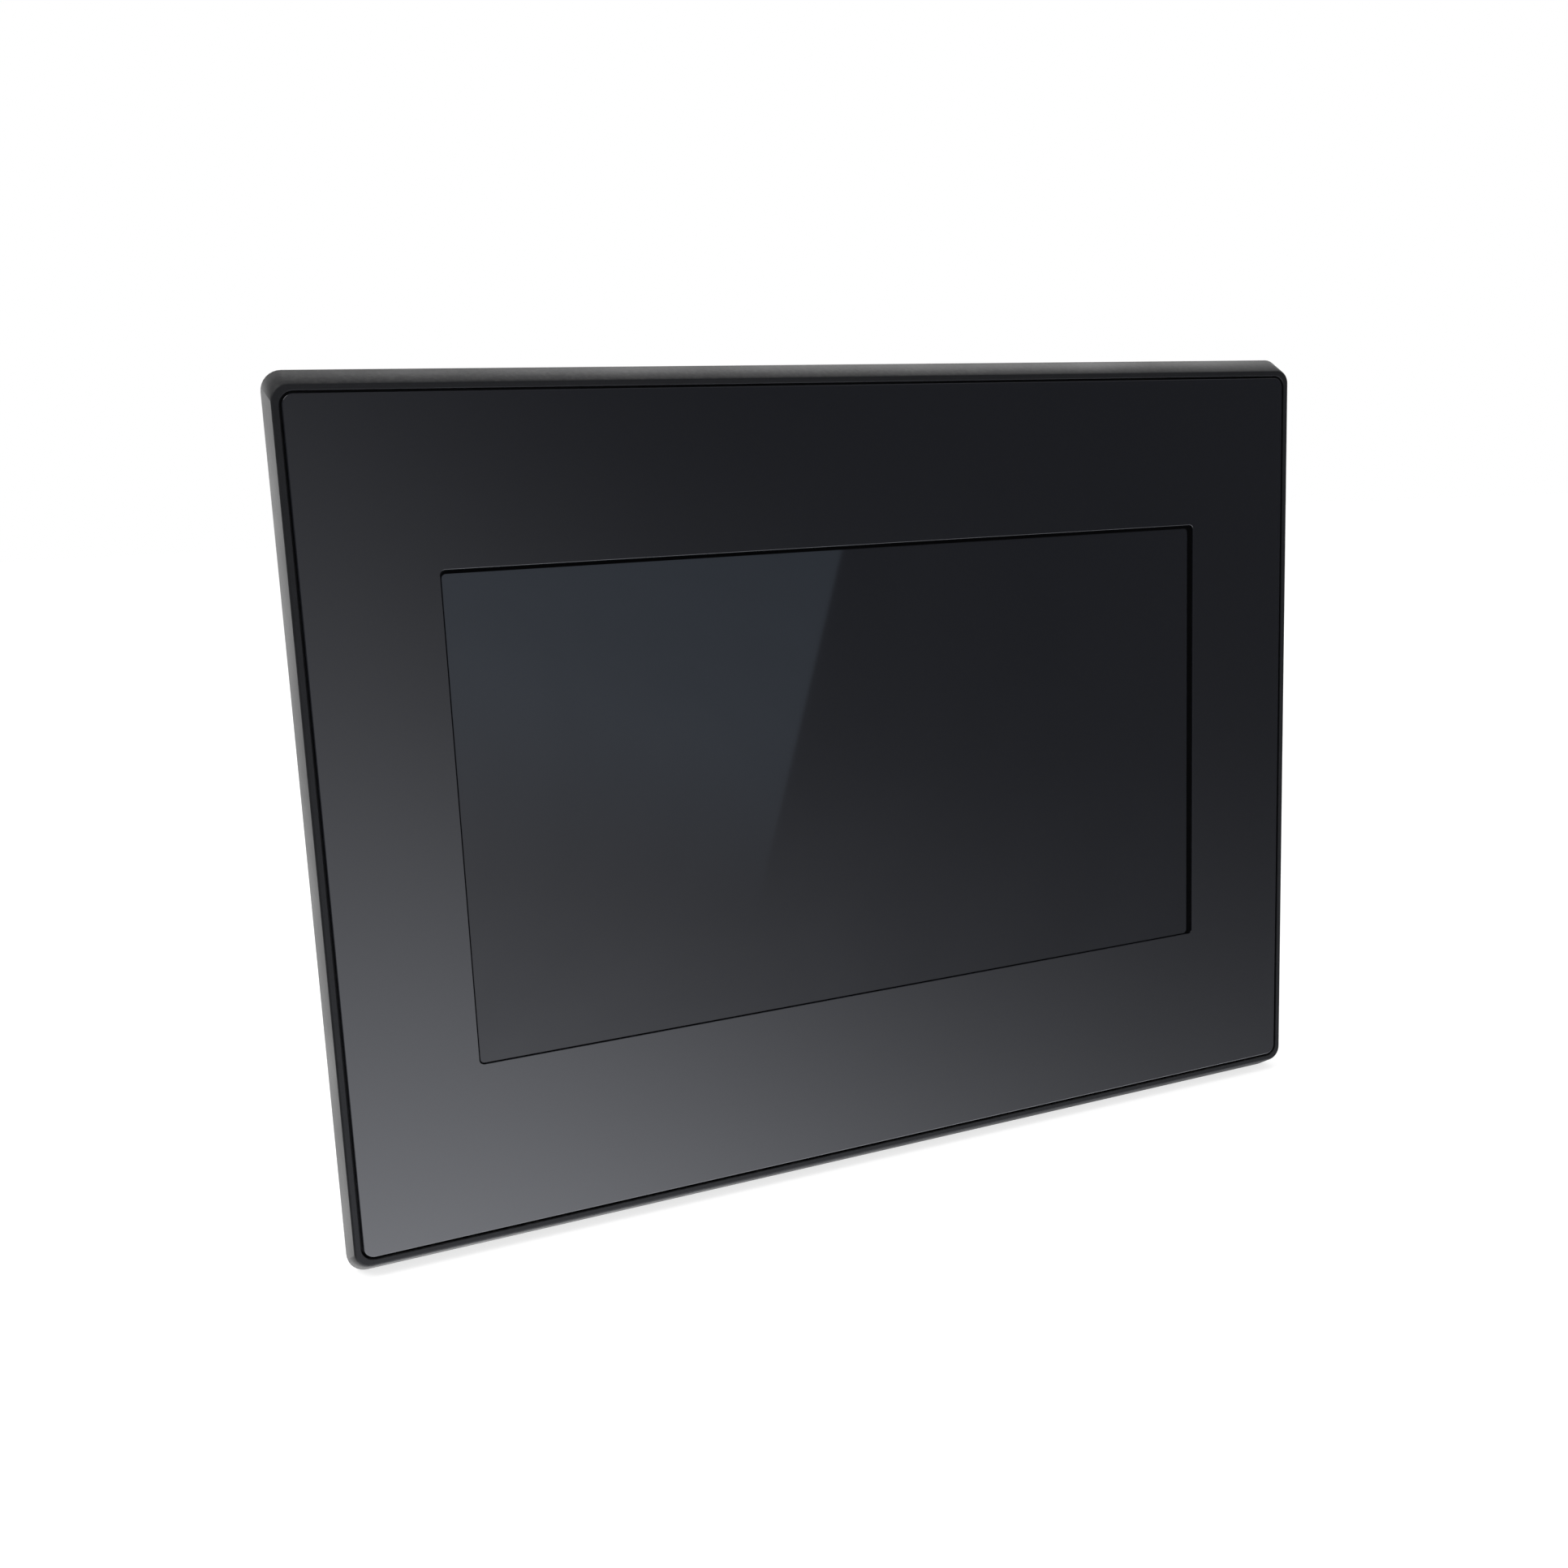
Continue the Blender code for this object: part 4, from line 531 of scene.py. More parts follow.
# green solder mask over copper tracks
def makeBoardFinish():
    material, tree, shader = startFinish("boardLaminate")
    tracks = put(tree, "ShaderNodeTexBrick", {
        "Vector": objectSpace(tree), "Scale": 160.0,
        "Mortar Size": 0.03, "Brick Width": 0.9, "Row Height": 0.14,
        "Color1": (0.010, 0.075, 0.038, 1), "Color2": (0.014, 0.090, 0.046, 1),
        "Mortar": (0.03, 0.17, 0.085, 1)})
    fleck = effect(tree, "grain", Scale=1500.0)
    tree.links.new(tint(tree, tracks.outputs["Color"], (0.010, 0.060, 0.030), maths(
        tree, "MULTIPLY", fleck["Fleck"], 0.4)), shader["Base Color"])
    tree.links.new(maths(tree, "MULTIPLY_ADD", fleck["Fleck"], 0.1, 0.32), shader["Roughness"])
    bump = put(tree, "ShaderNodeBump", {
        "Height": tracks.outputs["Fac"], "Distance": 0.00003, "Strength": 0.6})
    tree.links.new(bump.outputs[0], shader["Normal"])
    return material


# glass and light guide: clear, with faint handling marks
def makeClearFinish(name, colour, roughness):
    material, tree, shader = startFinish(name, {"Transmission Weight": 0.9, "IOR": 1.49})
    hands = effect(tree, "handling", Scale=25.0, Amount=0.3)
    tree.links.new(tint(tree, colour, tuple(c * 0.94 for c in colour), hands["Patch"]), shader["Base Color"])
    tree.links.new(maths(tree, "MULTIPLY", hands["Factor"], roughness), shader["Roughness"])
    return material


# one for each slot of the record, and a few that only show here
finishes = {
    "black_moulding": plastic("blackMoulding", (0.0085, 0.0088, 0.0100), 0.46, grain=2600.0, depth=0.000012,
                              wear=0.10, dust=0.05, plain={"Specular IOR Level": 0.12}),
    "black_sheet": makeFrontSheetFinish(),
    "touch_film": makeTouchFilmFinish(),
    "touch_glass": makeClearFinish("touchGlass", (0.86, 0.90, 0.90), 0.05),
    "display_glass": plastic("displayGlass", (0.010, 0.011, 0.013), 0.10, grain=6000.0, depth=0.000001,
                             wear=0.0),
    "seal_rubber": plastic("sealRubber", (0.014, 0.014, 0.0145), 0.74, grain=1500.0, depth=0.00005,
                           wear=0.15, dust=0.25),
    "housing_moulding": plastic("housingMoulding", (0.017, 0.0175, 0.0190), 0.50, grain=1700.0, depth=0.00003,
                                wear=0.35, dust=0.05, soft=0.0003),
    "zinc_plate": metal("zincPlate", (0.40, 0.41, 0.43), 0.44, lines=420.0, stretch=0.2, uneven=0.35),
    "tinned_shell": metal("tinnedShell", (0.66, 0.66, 0.65), 0.26, lines=1500.0, stretch=0.05),
    "board_laminate": makeBoardFinish(),
    "chip_moulding": plastic("chipMoulding", (0.018, 0.018, 0.019), 0.52, grain=3200.0, depth=0.00002),
    "fin_aluminium": metal("finAluminium", (0.70, 0.71, 0.73), 0.34, lines=700.0),
    "white_film": plastic("whiteFilm", (0.80, 0.81, 0.81), 0.50, grain=4000.0, depth=0.000004, wear=0.0),
    "clear_guide": makeClearFinish("clearGuide", (0.92, 0.95, 0.96), 0.08),
    "flat_lead": plastic("flatLead", (0.36, 0.17, 0.045), 0.34, grain=1800.0, depth=0.000006, wear=0.1),
    "terminal_moulding": plastic("terminalMoulding", (0.020, 0.115, 0.058), 0.40, grain=2200.0,
                                 depth=0.000015, wear=0.25),
    "battery_wrap": plastic("batteryWrap", (0.045, 0.075, 0.19), 0.30, grain=1200.0, depth=0.000006,
                            wear=0.1),
    "lever_white": plastic("leverWhite", (0.70, 0.70, 0.67), 0.42, grain=2800.0, depth=0.00001, wear=0.1),
    "label_silver": makeLabelFinish(),
    "foot_moulding": plastic("footMoulding", (0.020, 0.020, 0.021), 0.58, grain=2000.0, depth=0.00003),
    "screw_steel": metal("screwSteel", (0.42, 0.42, 0.42), 0.30, lines=1300.0, stretch=0.4, uneven=0.3),
    "contactGold": metal("contactGold", (0.83, 0.60, 0.26), 0.24, lines=1800.0, stretch=0.3),
    "insulator": plastic("insulator", (0.012, 0.012, 0.013), 0.44, grain=3000.0, depth=0.000012, wear=0.1),
    # painted shade: near-black matt finish of the band that stands for the shadow round the window's film
    "paintedShadeInk": plastic("paintedShadeInk", (0.0005, 0.0005, 0.0006), 0.85, grain=4200.0, depth=0.000003, wear=0.0,
                        dust=0.0, plain={"Specular IOR Level": 0.02}),
    "labelInk": plastic("labelInk", (0.03, 0.03, 0.033), 0.45, grain=4200.0, depth=0.000003, wear=0.0),
    "lampGreen": plastic("lampGreen", (0.10, 0.34, 0.12), 0.22, grain=3000.0, depth=0.000002, wear=0.0),
    "lampAmber": plastic("lampAmber", (0.50, 0.27, 0.04), 0.22, grain=3000.0, depth=0.000002, wear=0.0),
}
for node, thing in cadNodes.items():
    thing.data.materials.clear()
    thing.data.materials.append(finishes[slotOf[node]])
print("finishes made:", len(finishes))


# an object on its body, with a finish
def addPiece(name, shape, finish, body, smooth=True):
    bmesh.ops.recalc_face_normals(shape, faces=shape.faces)
    mesh = bpy.data.meshes.new(name)
    shape.to_mesh(mesh)
    shape.free()
    mesh.materials.append(finishes[finish])
    if smooth:
        mesh.shade_smooth()
    thing = bpy.data.objects.new(name, mesh)
    bpy.context.scene.collection.objects.link(thing)
    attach(thing, body)
    return thing


def roundEdges(thing, width, segments=2, angle=31):
    bevel = thing.modifiers.new("roundEdges", "BEVEL")
    bevel.width = width
    bevel.segments = segments
    bevel.limit_method = "ANGLE"
    bevel.angle_limit = radians(angle)
    bevel.harden_normals = True
    bevel.miter_outer = "MITER_ARC"
    bevel.loop_slide = False


# the node's own shape, its triangles merged into whole faces
def cleanCopy(node, merge=True):
    source = cadNodes[node].data
    shape = bmesh.new()
    points = [shape.verts.new(v.co) for v in source.vertices]
    for face in source.polygons:
        shape.faces.new([points[i] for i in face.vertices])
    bmesh.ops.remove_doubles(shape, verts=shape.verts, dist=0.000002)
    if merge:
        bmesh.ops.dissolve_limit(shape, angle_limit=radians(0.6), verts=shape.verts, edges=shape.edges)
    return shape


# a finer copy of a CAD node, with the small roundings that a mould or a press leaves
def soften(name, node, width, segments=2, edit=None, merge=True):
    shape = cleanCopy(node, merge)
    if edit:
        edit(shape)
    thing = addPiece(name, shape, slotOf[node], bodyOf[node])
    roundEdges(thing, width, segments)
    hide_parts(node)
    return thing


def addBox(shape, low, high):
    corners = [(x, y, z) for x in (low[0], high[0]) for y in (low[1], high[1]) for z in (low[2], high[2])]
    v = [shape.verts.new(c) for c in corners]
    for face in ((0, 1, 3, 2), (4, 6, 7, 5), (0, 4, 5, 1), (2, 3, 7, 6), (0, 2, 6, 4), (1, 5, 7, 3)):
        shape.faces.new([v[i] for i in face])


# faces between loops of points that follow each other
def skin(shape, loops, closed=True):
    for first, second in zip(loops, loops[1:]):
        for i in range(len(first)):
            j = (i + 1) % len(first)
            shape.faces.new((first[i], first[j], second[j], second[i]))
    if closed:
        shape.faces.new(loops[0])
        shape.faces.new(list(reversed(loops[-1])))


# a turned body: profile is radius and distance along the axis, closed at both ends
def turned(shape, profile, at, axis, count=32):
    axis = Vector(axis).normalized()
    side = axis.orthogonal().normalized()
    other = axis.cross(side)
    loops = []
    for radius, along in profile:
        centre = Vector(at) + axis * along
        turns = [2 * pi * i / count for i in range(count)]
        loops.append([shape.verts.new(centre + side * radius * cos(t) + other * radius * sin(t))
                      for t in turns])
    skin(shape, loops)


def roundedRing(halfWide, halfHigh, radius, middle, y, steps=10):
    points = []
    for side, up, start in ((1, 1, 0), (-1, 1, 90), (-1, -1, 180), (1, -1, 270)):
        for i in range(steps + 1):
            t = radians(start + 90 * i / steps)
            points.append((middle[0] + side * (halfWide - radius) + radius * cos(t), y,
                           middle[1] + up * (halfHigh - radius) + radius * sin(t)))
    return points


# a frame: the last ring joins the first again
def hoop(shape, rings):
    loops = [[shape.verts.new(p) for p in ring] for ring in rings]
    skin(shape, loops + loops[:1], closed=False)


window = {
    "sideMargin": 0.0051,  # from the touch film's edge to the window's
    "topMargin": 0.0061,
    "radius": 0.0009,
}
low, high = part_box("touch_film")
windowMiddle = (0, (low.z + high.z) / 2)
windowHalf = ((high.x - low.x) / 2 - window["sideMargin"], (high.z - low.z) / 2 - window["topMargin"])
filmFront = low.y

frontSheet = {
    "rimRound": 0.00022,
    "windowRound": 0.00008,
    "radius": 0.0020,
    "steps": 4,
    "flatWeight": 80,  # how far the big faces rule the shading
}


def makeFrontSheet():
    look = frontSheet
    low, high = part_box("front_sheet")
    half = ((high.x - low.x) / 2, (high.z - low.z) / 2)
    rings = [roundedRing(*half, look["radius"], (0, 0), high.y)]
    for i in range(look["steps"] + 1):
        t = radians(90 * i / look["steps"])
        inset = look["rimRound"] * (1 - cos(t))
        y = low.y + look["rimRound"] * (1 - sin(t))
        rings.append(roundedRing(half[0] - inset, half[1] - inset, look["radius"] - inset, (0, 0), y))
    for i in range(look["steps"] + 1):
        t = radians(90 - 90 * i / look["steps"])
        inset = look["windowRound"] * (1 - cos(t))
        y = low.y + look["windowRound"] * (1 - sin(t))
        rings.append(roundedRing(windowHalf[0] + inset, windowHalf[1] + inset, window["radius"] + inset,
                                 windowMiddle, y))
    rings.append(roundedRing(*windowHalf, window["radius"], windowMiddle, high.y))
    shape = bmesh.new()
    hoop(shape, rings)
    sheet = addPiece("frontSheet", shape, "black_sheet", "root")
    sheet.modifiers.new("flatFaces", "WEIGHTED_NORMAL").weight = look["flatWeight"]
    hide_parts("front_sheet")


screen = {
    "gap": 0.00012,  # between the raised middle of the film and the window's edge
    "below": 0.00025,  # how far it lies under the front sheet
    "sunk": 0.00010,  # how far its foot reaches into the film
    "round": 0.00006,
    "shadeTop": 0.00060,  # width of the dark band along each side of it; the band is painted shade, widest at the top and right where the window's edge would cast shadow
    "shadeRight": 0.00120,
    "shadeRest": 0.00008,
    "shadeThick": 0.00002,
}


# the touch film's raised middle, which fills the window, and a dark band round it that is painted shade,
# widest along the top and right edges
def makeScreen():
    look = screen
    half = (windowHalf[0] - look["gap"], windowHalf[1] - look["gap"])
    radius = window["radius"] - look["gap"]
    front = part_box("front_sheet")[0].y + look["below"]
    shape = bmesh.new()
    outer = (half[0] - look["round"], half[1] - look["round"])
    rings = [roundedRing(*half, radius, windowMiddle, filmFront + look["sunk"]),
             roundedRing(*half, radius, windowMiddle, front + look["round"]),
             roundedRing(*outer, radius - look["round"], windowMiddle, front)]
    skin(shape, [[shape.verts.new(p) for p in ring] for ring in rings])
    pad = addPiece("filmMiddle", shape, "touch_film", "root", smooth=False)
    # painted shade: the band's inner edge is set in further at the top and right, a shadow drawn as a thin
    # dark sheet
    inner = (half[0] - (look["shadeRight"] + look["shadeRest"]) / 2,
             half[1] - (look["shadeTop"] + look["shadeRest"]) / 2)
    middle = (windowMiddle[0] + (look["shadeRest"] - look["shadeRight"]) / 2,
              windowMiddle[1] + (look["shadeRest"] - look["shadeTop"]) / 2)
    back, face = front + look["round"], front - look["shadeThick"]
    shape = bmesh.new()
    hoop(shape, [
        roundedRing(*outer, radius, windowMiddle, back),
        roundedRing(*outer, radius, windowMiddle, face),
        roundedRing(*inner, radius, middle, face),
        roundedRing(*inner, radius, middle, back),
    ])
    # painted shade: a near-black band lying on the film where the window's edge would throw shadow
    addPiece("filmPaintedShade", shape, "paintedShadeInk", "root", smooth=False)
    return pad


rounding = {"frontBezel": 0.00012, "panelSeal": 0.00025, "lid": 0.00018}
soften("frontBezel", "front_bezel", rounding["frontBezel"], segments=3)
makeFrontSheet()
soften("panelSeal", "panel_gasket", rounding["panelSeal"], segments=3)
makeWindowCard(makeScreen())
print("front made")


soften("cardLid", "card_cover", rounding["lid"])
soften("batteryLid", "battery_cover", rounding["lid"])

lidGrip = {
    "ridges": 3,
    "pitch": 0.0016,
    "half": 0.0045,  # half a ridge's length
    "high": 0.00035,
    "wide": 0.0007,
    "fromEdge": 0.0022,
    "sunk": 0.0003,
    "rounding": 0.00025,
}


def makeLidGrips():
    look = lidGrip
    for name, node, face in (("cardLidGrip", "card_cover", "x"), ("batteryLidGrip", "battery_cover", "y")):
        low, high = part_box(node)
        shape = bmesh.new()
        for i in range(look["ridges"]):
            back = look["fromEdge"] + i * look["pitch"]
            if face == "x":
                middle = (low.z + high.z) / 2
                addBox(shape, (high.x - look["sunk"], high.y - back - look["wide"], middle - look["half"]),
                       (high.x + look["high"], high.y - back, middle + look["half"]))
            else:
                addBox(shape, (-look["half"], high.y - look["sunk"], high.z - back - look["wide"]),
                       (look["half"], high.y + look["high"], high.z - back))
        grip = addPiece(name, shape, "housing_moulding", bodyOf[node])
        roundEdges(grip, look["rounding"], 3)


ratingPlate = {
    "line": 0.00022,
    "inset": 0.0016,
    "rows": 4,
    "column": 0.34,  # share of the width left of the upright line
    "ink": 0.00002,  # how far the rules stand over the plate, and reach into it
    "uprights": 0.000005,  # and how much higher the upright ones are
    "rounding": 0.00006,
}


def makeRatingPlate():
    look = ratingPlate
    soften("ratingPlate", "rating_plate", look["rounding"])
    low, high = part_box("rating_plate")
    left, right = low.x + look["inset"], high.x - look["inset"]
    bottom, top = low.z + look["inset"], high.z - look["inset"]
    line, back, face = look["line"], high.y - look["ink"], high.y + look["ink"]
    shape = bmesh.new()
    for i in range(look["rows"] + 1):
        z = bottom + (top - bottom - line) * i / look["rows"]
        addBox(shape, (left, back, z), (right, face, z + line))
    for x in (left, left + (right - left) * look["column"], right - line):
        addBox(shape, (x, back + look["uprights"], bottom), (x + line, face + look["uprights"], top))
    addPiece("plateRules", shape, "labelInk", "root", smooth=False)


makeLidGrips()
makeRatingPlate()
print("rear housing made")


thread = {
    "pitch": 0.0007,
    "depth": 0.00034,
    "perPitch": 8,  # rows of points to each turn
    "round": 28,  # points round the shank
    "blunt": 0.35,  # share of a turn that the flat crest takes
}


# a screw thread as one closed tube whose radius rises and falls along a helix
def makeThread(name, radius, at, axis, length, body):
    look = thread
    axis = Vector(axis)
    side = axis.orthogonal().normalized()
    other = axis.cross(side)
    rows = max(4, round(length / look["pitch"] * look["perPitch"]))
    shape = bmesh.new()
    loops = []
    for row in range(rows + 1):
        along = length * row / rows
        ends = min(1.0, min(row, rows - row) / look["perPitch"])  # the thread runs out at both ends
        ring = []
        for i in range(look["round"]):
            t = 2 * pi * i / look["round"]
            phase = (along / look["pitch"] - i / look["round"]) % 1.0
            rise = min(1.0, (1 - abs(2 * phase - 1)) / (1 - look["blunt"]))
            r = radius - look["depth"] * (1 - rise * ends)
            ring.append(shape.verts.new(Vector(at) + axis * along + (side * cos(t) + other * sin(t)) * r))
        loops.append(ring)
    skin(shape, loops)
    addPiece(name, shape, "screw_steel", body)


# an edit that draws a screw's shank in, so that its thread stands round it
def slimmer(middle, radius, slim):
    least, most = radius * clampScrew["shankBand"][0], radius * clampScrew["shankBand"][1]

    def edit(shape):
        for v in shape.verts:
            away = Vector((v.co.x - middle[0], 0, v.co.z - middle[1]))
            if least < away.length < most:
                away = away.normalized() * slim
                v.co.x, v.co.z = middle[0] + away.x, middle[1] + away.z
    return edit


clampScrew = {
    "radius": 0.0020,
    "headThick": 0.0028,
    "rounding": 0.00035,
    "shankBand": (0.6, 1.05),  # points this far out, in shares of the radius, are the shank's
    "core": 1.05,  # depth of the core below the crests, in thread depths
    "tip": 0.0003,  # bare ends of the shank
    "neck": 0.0002,
    "bracketRounding": 0.0004,
    "footRounding": 0.0003,
}


def makeClampScrews():
    look = clampScrew
    for number in range(1, 5):
        node = f"clamp_screw_{number}"
        low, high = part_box(node)
        middle = ((low.x + high.x) / 2, (low.z + high.z) / 2)
        slim = look["radius"] - thread["depth"] * look["core"]
        soften(f"clampScrew{number}", node, look["rounding"], segments=3,
               edit=slimmer(middle, look["radius"], slim))
        length = high.y - look["headThick"] - low.y - look["tip"] - look["neck"]
        start = (middle[0], low.y + look["tip"], middle[1])
        makeThread(f"clampThread{number}", look["radius"], start, (0, 1, 0), length, bodyOf[node])
        soften(f"clampBracket{number}", f"clamp_bracket_{number}", look["bracketRounding"], segments=3)
        soften(f"clampFoot{number}", f"clamp_foot_{number}", look["footRounding"], segments=3)


smallScrew = {
    "cover": 0.00016,  # rounding of each kind
    "jack": 0.00016,
    "terminal": 0.00012,
}


def makeSmallScrews():
    for number in range(1, 5):
        soften(f"coverScrew{number}", f"cover_screw_{number}", smallScrew["cover"], segments=3)
        soften(f"jackScrew{number}", f"jack_screw_{number}", smallScrew["jack"])
    for number in range(1, 4):
        soften(f"terminalScrew{number}", f"terminal_screw_{number}", smallScrew["terminal"])


makeClampScrews()
makeSmallScrews()
print("screws and clamps made")


# the connectors' mouths face down, to -Z
connector = {
    "rounding": 0.00012,
    "proud": 0.00006,  # how far an insert stands over the CAD face that it covers
}

networkSocket = {
    "contacts": 8,
    "pitch": 0.00102,
    "wire": (0.0004, 0.00035),  # width and thickness
    "path": ((0.0037, 0.0010), (0.0037, 0.0060), (0.0060, 0.0108)),  # up the front wall, then into the room
    "lamps": (("networkLampLeft", "lampGreen", 0.0062), ("networkLampRight", "lampAmber", -0.0062)),
    "lampHalf": 0.0012,
    "lampBand": (0.0019, 0.0004),  # from the back
    "lampDeep": 0.0005,
    "lampRounding": 0.0003,
}


def makeNetworkSocket():
    look = networkSocket
    soften("networkShell", "network_socket", connector["rounding"], merge=False)
    low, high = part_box("network_socket")
    middle = (low.x + high.x) / 2
    half, thick = look["wire"][0] / 2, look["wire"][1]
    section = ((-half, 0), (half, 0), (half, thick), (-half, thick))
    shape = bmesh.new()
    for i in range(look["contacts"]):
        x = middle + (i - (look["contacts"] - 1) / 2) * look["pitch"]
        for ends in zip(look["path"], look["path"][1:]):
            skin(shape, [[shape.verts.new((x + dx, low.y + y + dy, low.z + z)) for dx, dy in section]
                         for y, z in ends])
    addPiece("networkContacts", shape, "contactGold", "root", smooth=False)
    front, back = [high.y - away for away in look["lampBand"]]
    for name, finish, side in look["lamps"]:
        x = middle + side
        lamp = bmesh.new()
        addBox(lamp, (x - look["lampHalf"], front, low.z - connector["proud"]),
               (x + look["lampHalf"], back, low.z + look["lampDeep"]))
        roundEdges(addPiece(name, lamp, finish, "root"), look["lampRounding"], 3)


usbPorts = {
    "usbHost": {"node": "usb_host_port", "tongue": (0.0112, 0.0019, 0.0088), "contacts": 4},
    "usbDevice": {"node": "usb_device_port", "tongue": (0.0046, 0.0009, 0.0040), "contacts": 5},
}
usbInside = {
    "floor": 0.0030,  # from the shell's top to the tongue's root
    "wall": 0.0007,
    "plate": (0.0003, 0.0001),
    "rounding": 0.00008,
    "spare": 0.6,  # room beside the strips, in pitches
    "strip": 0.22,  # half a strip's width, in pitches
    "stripFrom": 0.0008,
    "stripThick": 0.00012,
}


# a folded shell, a moulded tongue over the CAD one, and its contact strips
def makeUsbPort(name):
    port, look = usbPorts[name], usbInside
    soften(f"{name}Shell", port["node"], connector["rounding"], merge=False)
    low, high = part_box(port["node"])
    middle, centre = (low.x + high.x) / 2, (low.y + high.y) / 2
    wide, thick, long = port["tongue"]
    roof, over, wall = high.z - look["floor"], connector["proud"], look["wall"]
    below, above = [roof - away for away in look["plate"]]
    shape = bmesh.new()
    addBox(shape, (middle - wide / 2 - over, centre - thick / 2 - over, roof - long - over),
           (middle + wide / 2 + over, centre + thick / 2 + over, above))
    addBox(shape, (low.x + wall, low.y + wall, below), (high.x - wall, high.y - wall, above))
    roundEdges(addPiece(f"{name}Insert", shape, "insulator", "root"), look["rounding"])
    strips = bmesh.new()
    pitch = wide / (port["contacts"] + look["spare"])
    face, half = centre + thick / 2, pitch * look["strip"]
    for i in range(port["contacts"]):
        x = middle + (i - (port["contacts"] - 1) / 2) * pitch
        addBox(strips, (x - half, face, roof - long + look["stripFrom"]),
               (x + half, face + look["stripThick"], below))
    addPiece(f"{name}Contacts", strips, "contactGold", "root", smooth=False)


serial = {
    "pitch": 0.00277,
    "rows": 0.00284,
    "halfWide": 0.0079,
    "halfHigh": 0.00355,
    "slant": 10,
    "corner": 0.0011,
    "cornerSteps": 4,
    "pinInsert": (0.0054, 0.0056),  # front and back, from the mouth
    "insertDeep": 0.0004,  # of the port with sockets
    "pin": ((0.00025, 0), (0.00052, 0.0003), (0.00052, 0.0047)),  # radius, and how far along
    "pinFrom": 0.00075,
    "ring": ((0.00048, 0.0010), (0.00048, -0.00002), (0.00074, -0.00002), (0.00074, 0.0010)),
    "hole": 0.00072,
    "drill": (-0.001, 0.002),
    "round": 16,
}


def serialSpots(middle, centre):
    upper = [(middle + (i - 2) * serial["pitch"], centre + serial["rows"] / 2) for i in range(5)]
    lower = [(middle + (i - 1.5) * serial["pitch"], centre - serial["rows"] / 2) for i in range(4)]
    return upper + lower


def dOutline(middle, centre):
    wide, high = serial["halfWide"], serial["halfHigh"]
    slant = 2 * high * sin(radians(serial["slant"]))
    points = []
    spots = ((wide, high), (-wide, high), (slant - wide, -high), (wide - slant, -high))
    for i, spot in enumerate(spots):
        before, here, after = Vector(spots[i - 1]), Vector(spot), Vector(spots[(i + 1) % 4])
        start = here + (before - here).normalized() * serial["corner"]
        end = here + (after - here).normalized() * serial["corner"]
        for k in range(serial["cornerSteps"] + 1):
            t = k / serial["cornerSteps"]
            points.append((1 - t) ** 2 * start + 2 * t * (1 - t) * here + t * t * end)
    return [(middle + p.x, centre + p.y) for p in points]


def makeSerialPort(name, node, pins):
    look, count = serial, serial["round"]
    soften(f"{name}Shell", node, connector["rounding"], merge=False)
    low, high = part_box(node)
    middle, centre = (low.x + high.x) / 2, (low.y + high.y) / 2
    mouth, over = low.z, connector["proud"]
    shape, gold = bmesh.new(), bmesh.new()
    ends = [mouth + z for z in (look["pinInsert"] if pins else (-over, look["insertDeep"]))]
    outline, spots = dOutline(middle, centre), serialSpots(middle, centre)
    skin(shape, [[shape.verts.new((x, y, z)) for x, y in outline] for z in ends])
    insert = addPiece(f"{name}Insert", shape, "insulator", "root", smooth=False)
    for x, y in spots:
        if pins:
            turned(gold, look["pin"], (x, y, mouth + look["pinFrom"]), (0, 0, 1), count)
        else:
            turns = [2 * pi * i / count for i in range(count)]
            hoop(gold, [[(x + r * cos(t), y + r * sin(t), mouth - over + z) for t in turns]
                        for r, z in look["ring"]])
    if not pins:
        drill(insert, [(x, y, mouth) for x, y in spots], look["hole"])
    addPiece(f"{name}Contacts", gold, "contactGold", "root")


# holes straight up through a piece, cut for good
def drill(thing, spots, radius):
    shape = bmesh.new()
    for spot in spots:
        turned(shape, [(radius, along) for along in serial["drill"]], spot, (0, 0, 1), serial["round"])
    bmesh.ops.recalc_face_normals(shape, faces=shape.faces)
    mesh = bpy.data.meshes.new("drill")
    shape.to_mesh(mesh)
    shape.free()
    tool = bpy.data.objects.new("drill", mesh)
    bpy.context.scene.collection.objects.link(tool)
    holes = thing.modifiers.new("holes", "BOOLEAN")
    holes.operation = "DIFFERENCE"
    holes.object = tool
    bpy.context.view_layer.update()
    cut = bpy.data.meshes.new_from_object(thing.evaluated_get(bpy.context.evaluated_depsgraph_get()))
    thing.modifiers.clear()
    thing.data = cut
    bpy.data.objects.remove(tool)


powerPlug = {
    "rounding": 0.00015,
    "wires": 3,
    "pitch": 0.00508,
    "cage": 0.0030,
    "wall": 0.0003,
    "front": 0.0014,  # from the plug's front to the wire cages
    "depth": 0.0012,  # and from its foot
    "tall": 0.004,
}


def makePower():
    look = powerPlug
    soften("powerHeader", "power_header", look["rounding"], merge=False)
    soften("powerPlug", "power_plug", look["rounding"], merge=False)
    low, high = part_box("power_plug")
    middle = (low.x + high.x) / 2
    half, wall = look["cage"] / 2, look["wall"]
    y0, z0 = low.y + look["front"], low.z + look["depth"]
    y1, z1 = y0 + look["cage"], z0 + look["tall"]
    shape = bmesh.new()
    for i in range(look["wires"]):
        x = middle + (i - (look["wires"] - 1) / 2) * look["pitch"]
        addBox(shape, (x - half, y0, z0), (x - half + wall, y1, z1))
        addBox(shape, (x + half - wall, y0, z0), (x + half, y1, z1))
        addBox(shape, (x - half, y0, z0), (x + half, y0 + wall, z1))
        addBox(shape, (x - half, y1 - wall, z0), (x + half, y1, z1))
    addPiece("powerCages", shape, "screw_steel", bodyOf["power_plug"], smooth=False)


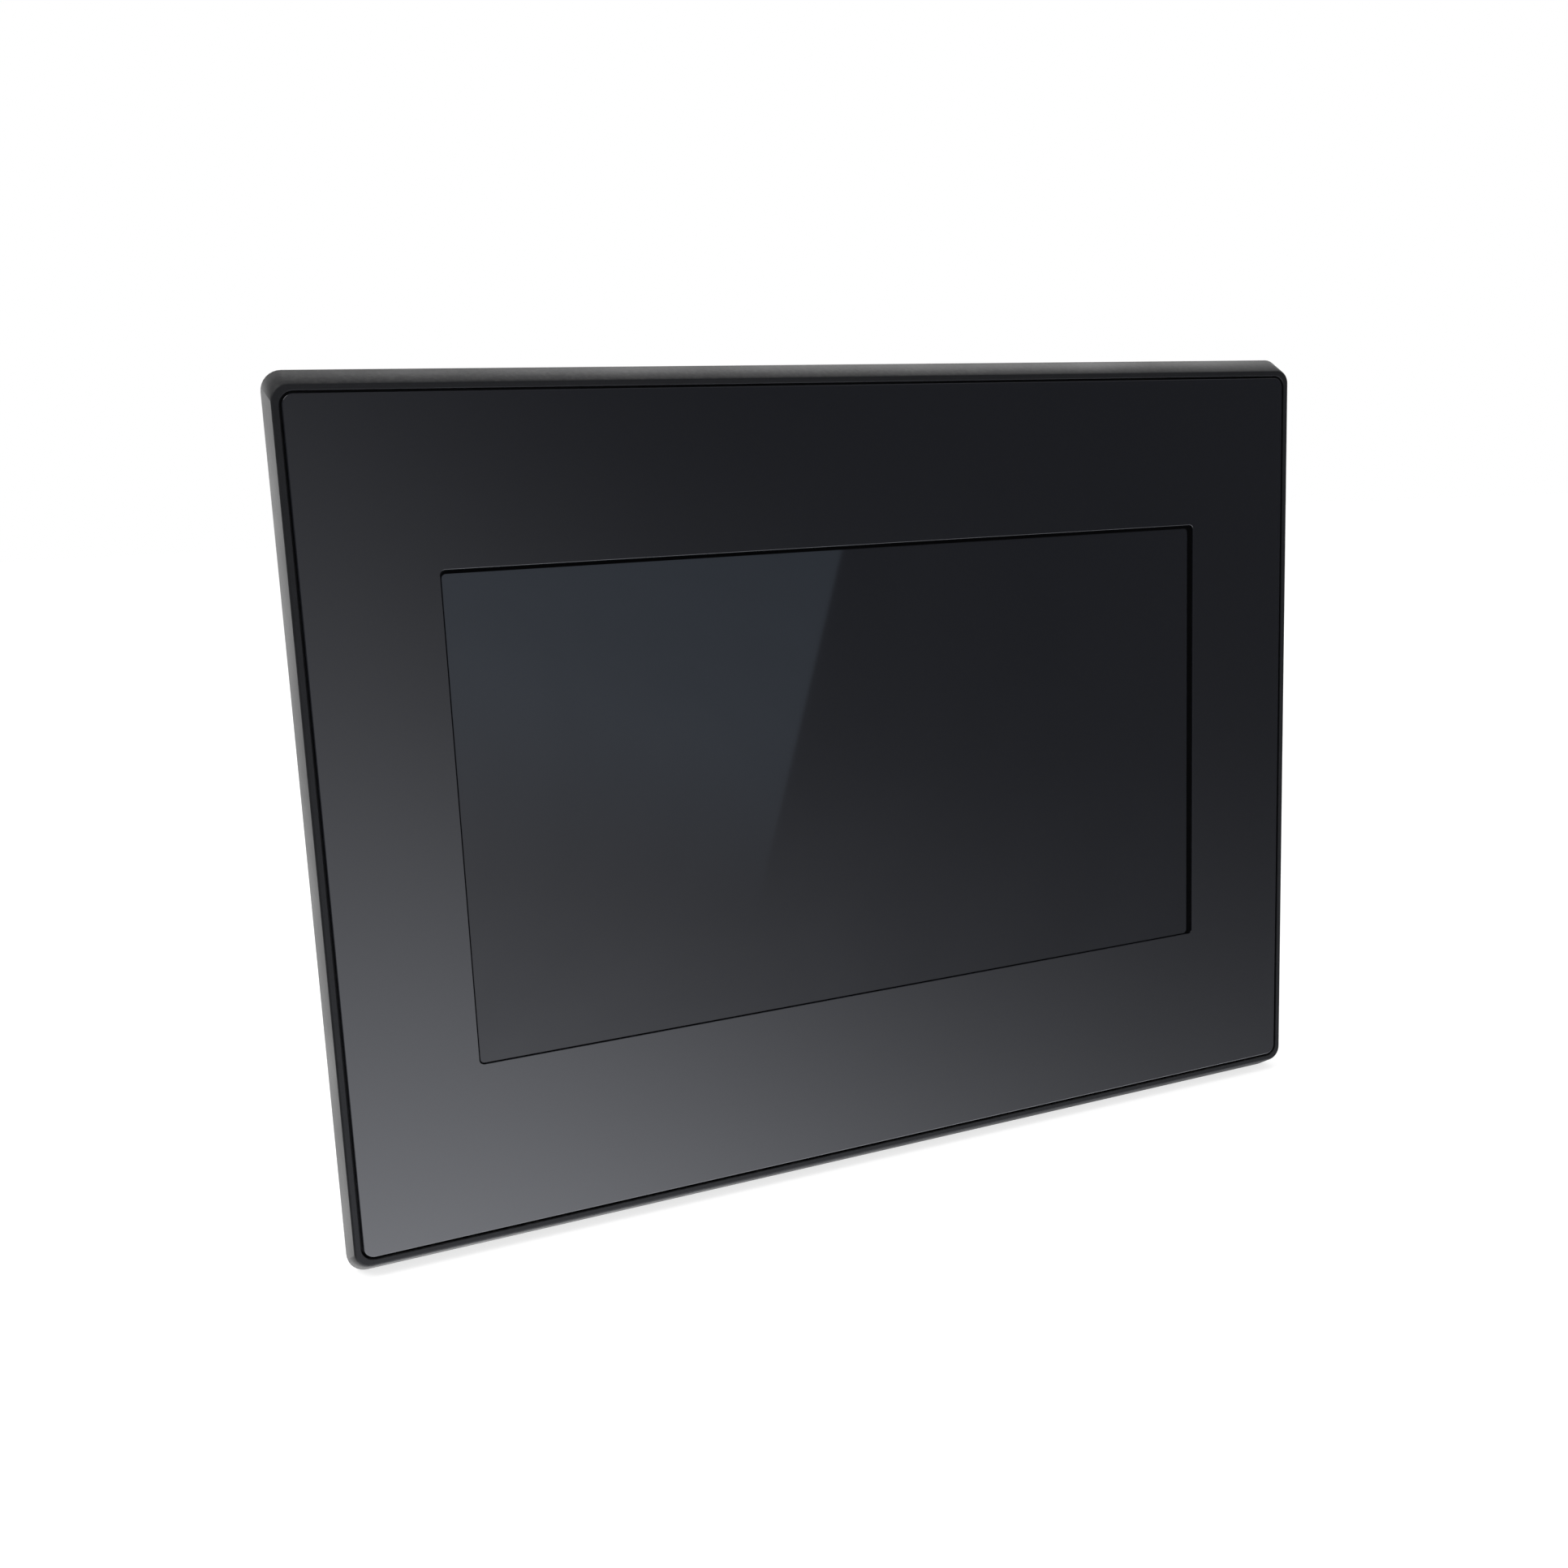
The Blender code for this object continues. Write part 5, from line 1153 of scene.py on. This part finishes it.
makeNetworkSocket()
for port in usbPorts:
    makeUsbPort(port)
makeSerialPort("serialA", "serial_port_a", False)
makeSerialPort("serialB", "serial_port_b", True)
makePower()
soften("switchLever", "switch_lever", 0.0002)
print("connectors made")


battery = {
    "rounding": 0.0003,
    "cap": 0.0046,
    "capProfile": ((0, -0.0002), (0, 0.00008), (-0.0003, 0.00012)),  # past the cap's radius, and along
    "nose": 0.0020,
    "noseLong": 0.0010,
    "sharp": 35,
    "springTurns": 4,
    "springSteps": 20,  # to each turn
    "springRoom": 0.0033,
    "springRadius": (0.0040, 0.0022),
    "springGap": 0.0002,
    "wire": 0.00032,
    "wireSides": 8,
}


def makeBattery():
    look = battery
    soften("batteryCell", "battery", look["rounding"], segments=3)
    low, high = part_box("battery")
    y, z = (low.y + high.y) / 2, (low.z + high.z) / 2
    flat = [(look["cap"] + out, along) for out, along in look["capProfile"]]
    nose, tip = look["nose"], look["noseLong"]
    button = flat[:2] + [(nose + 0.0001, 0.00014), (nose + 0.0001, tip), (nose - 0.0003, tip + 0.0001)]
    caps = bmesh.new()
    turned(caps, button, (high.x - tip, y, z), (1, 0, 0))
    turned(caps, flat, (low.x, y, z), (-1, 0, 0))
    ends = addPiece("batteryCaps", caps, "screw_steel", "root")
    ends.data.set_sharp_from_angle(angle=radians(look["sharp"]))
    wide, narrow = look["springRadius"]
    steps = look["springTurns"] * look["springSteps"]
    section = [2 * pi * k / look["wireSides"] for k in range(look["wireSides"])]
    coil = bmesh.new()
    loops = []
    for i in range(steps + 1):
        share = i / steps
        t = 2 * pi * look["springTurns"] * share
        r = wide - (wide - narrow) * share
        x = low.x - look["springRoom"] + (look["springRoom"] - look["springGap"]) * share
        middle, out = Vector((x, y + r * cos(t), z + r * sin(t))), Vector((0, cos(t), sin(t)))
        loops.append([coil.verts.new(middle + (out * cos(a) + Vector((1, 0, 0)) * sin(a)) * look["wire"])
                      for a in section])
    skin(coil, loops)
    addPiece("batterySpring", coil, "screw_steel", "root")


makeBattery()
print("battery made")

bpy.context.view_layer.update()
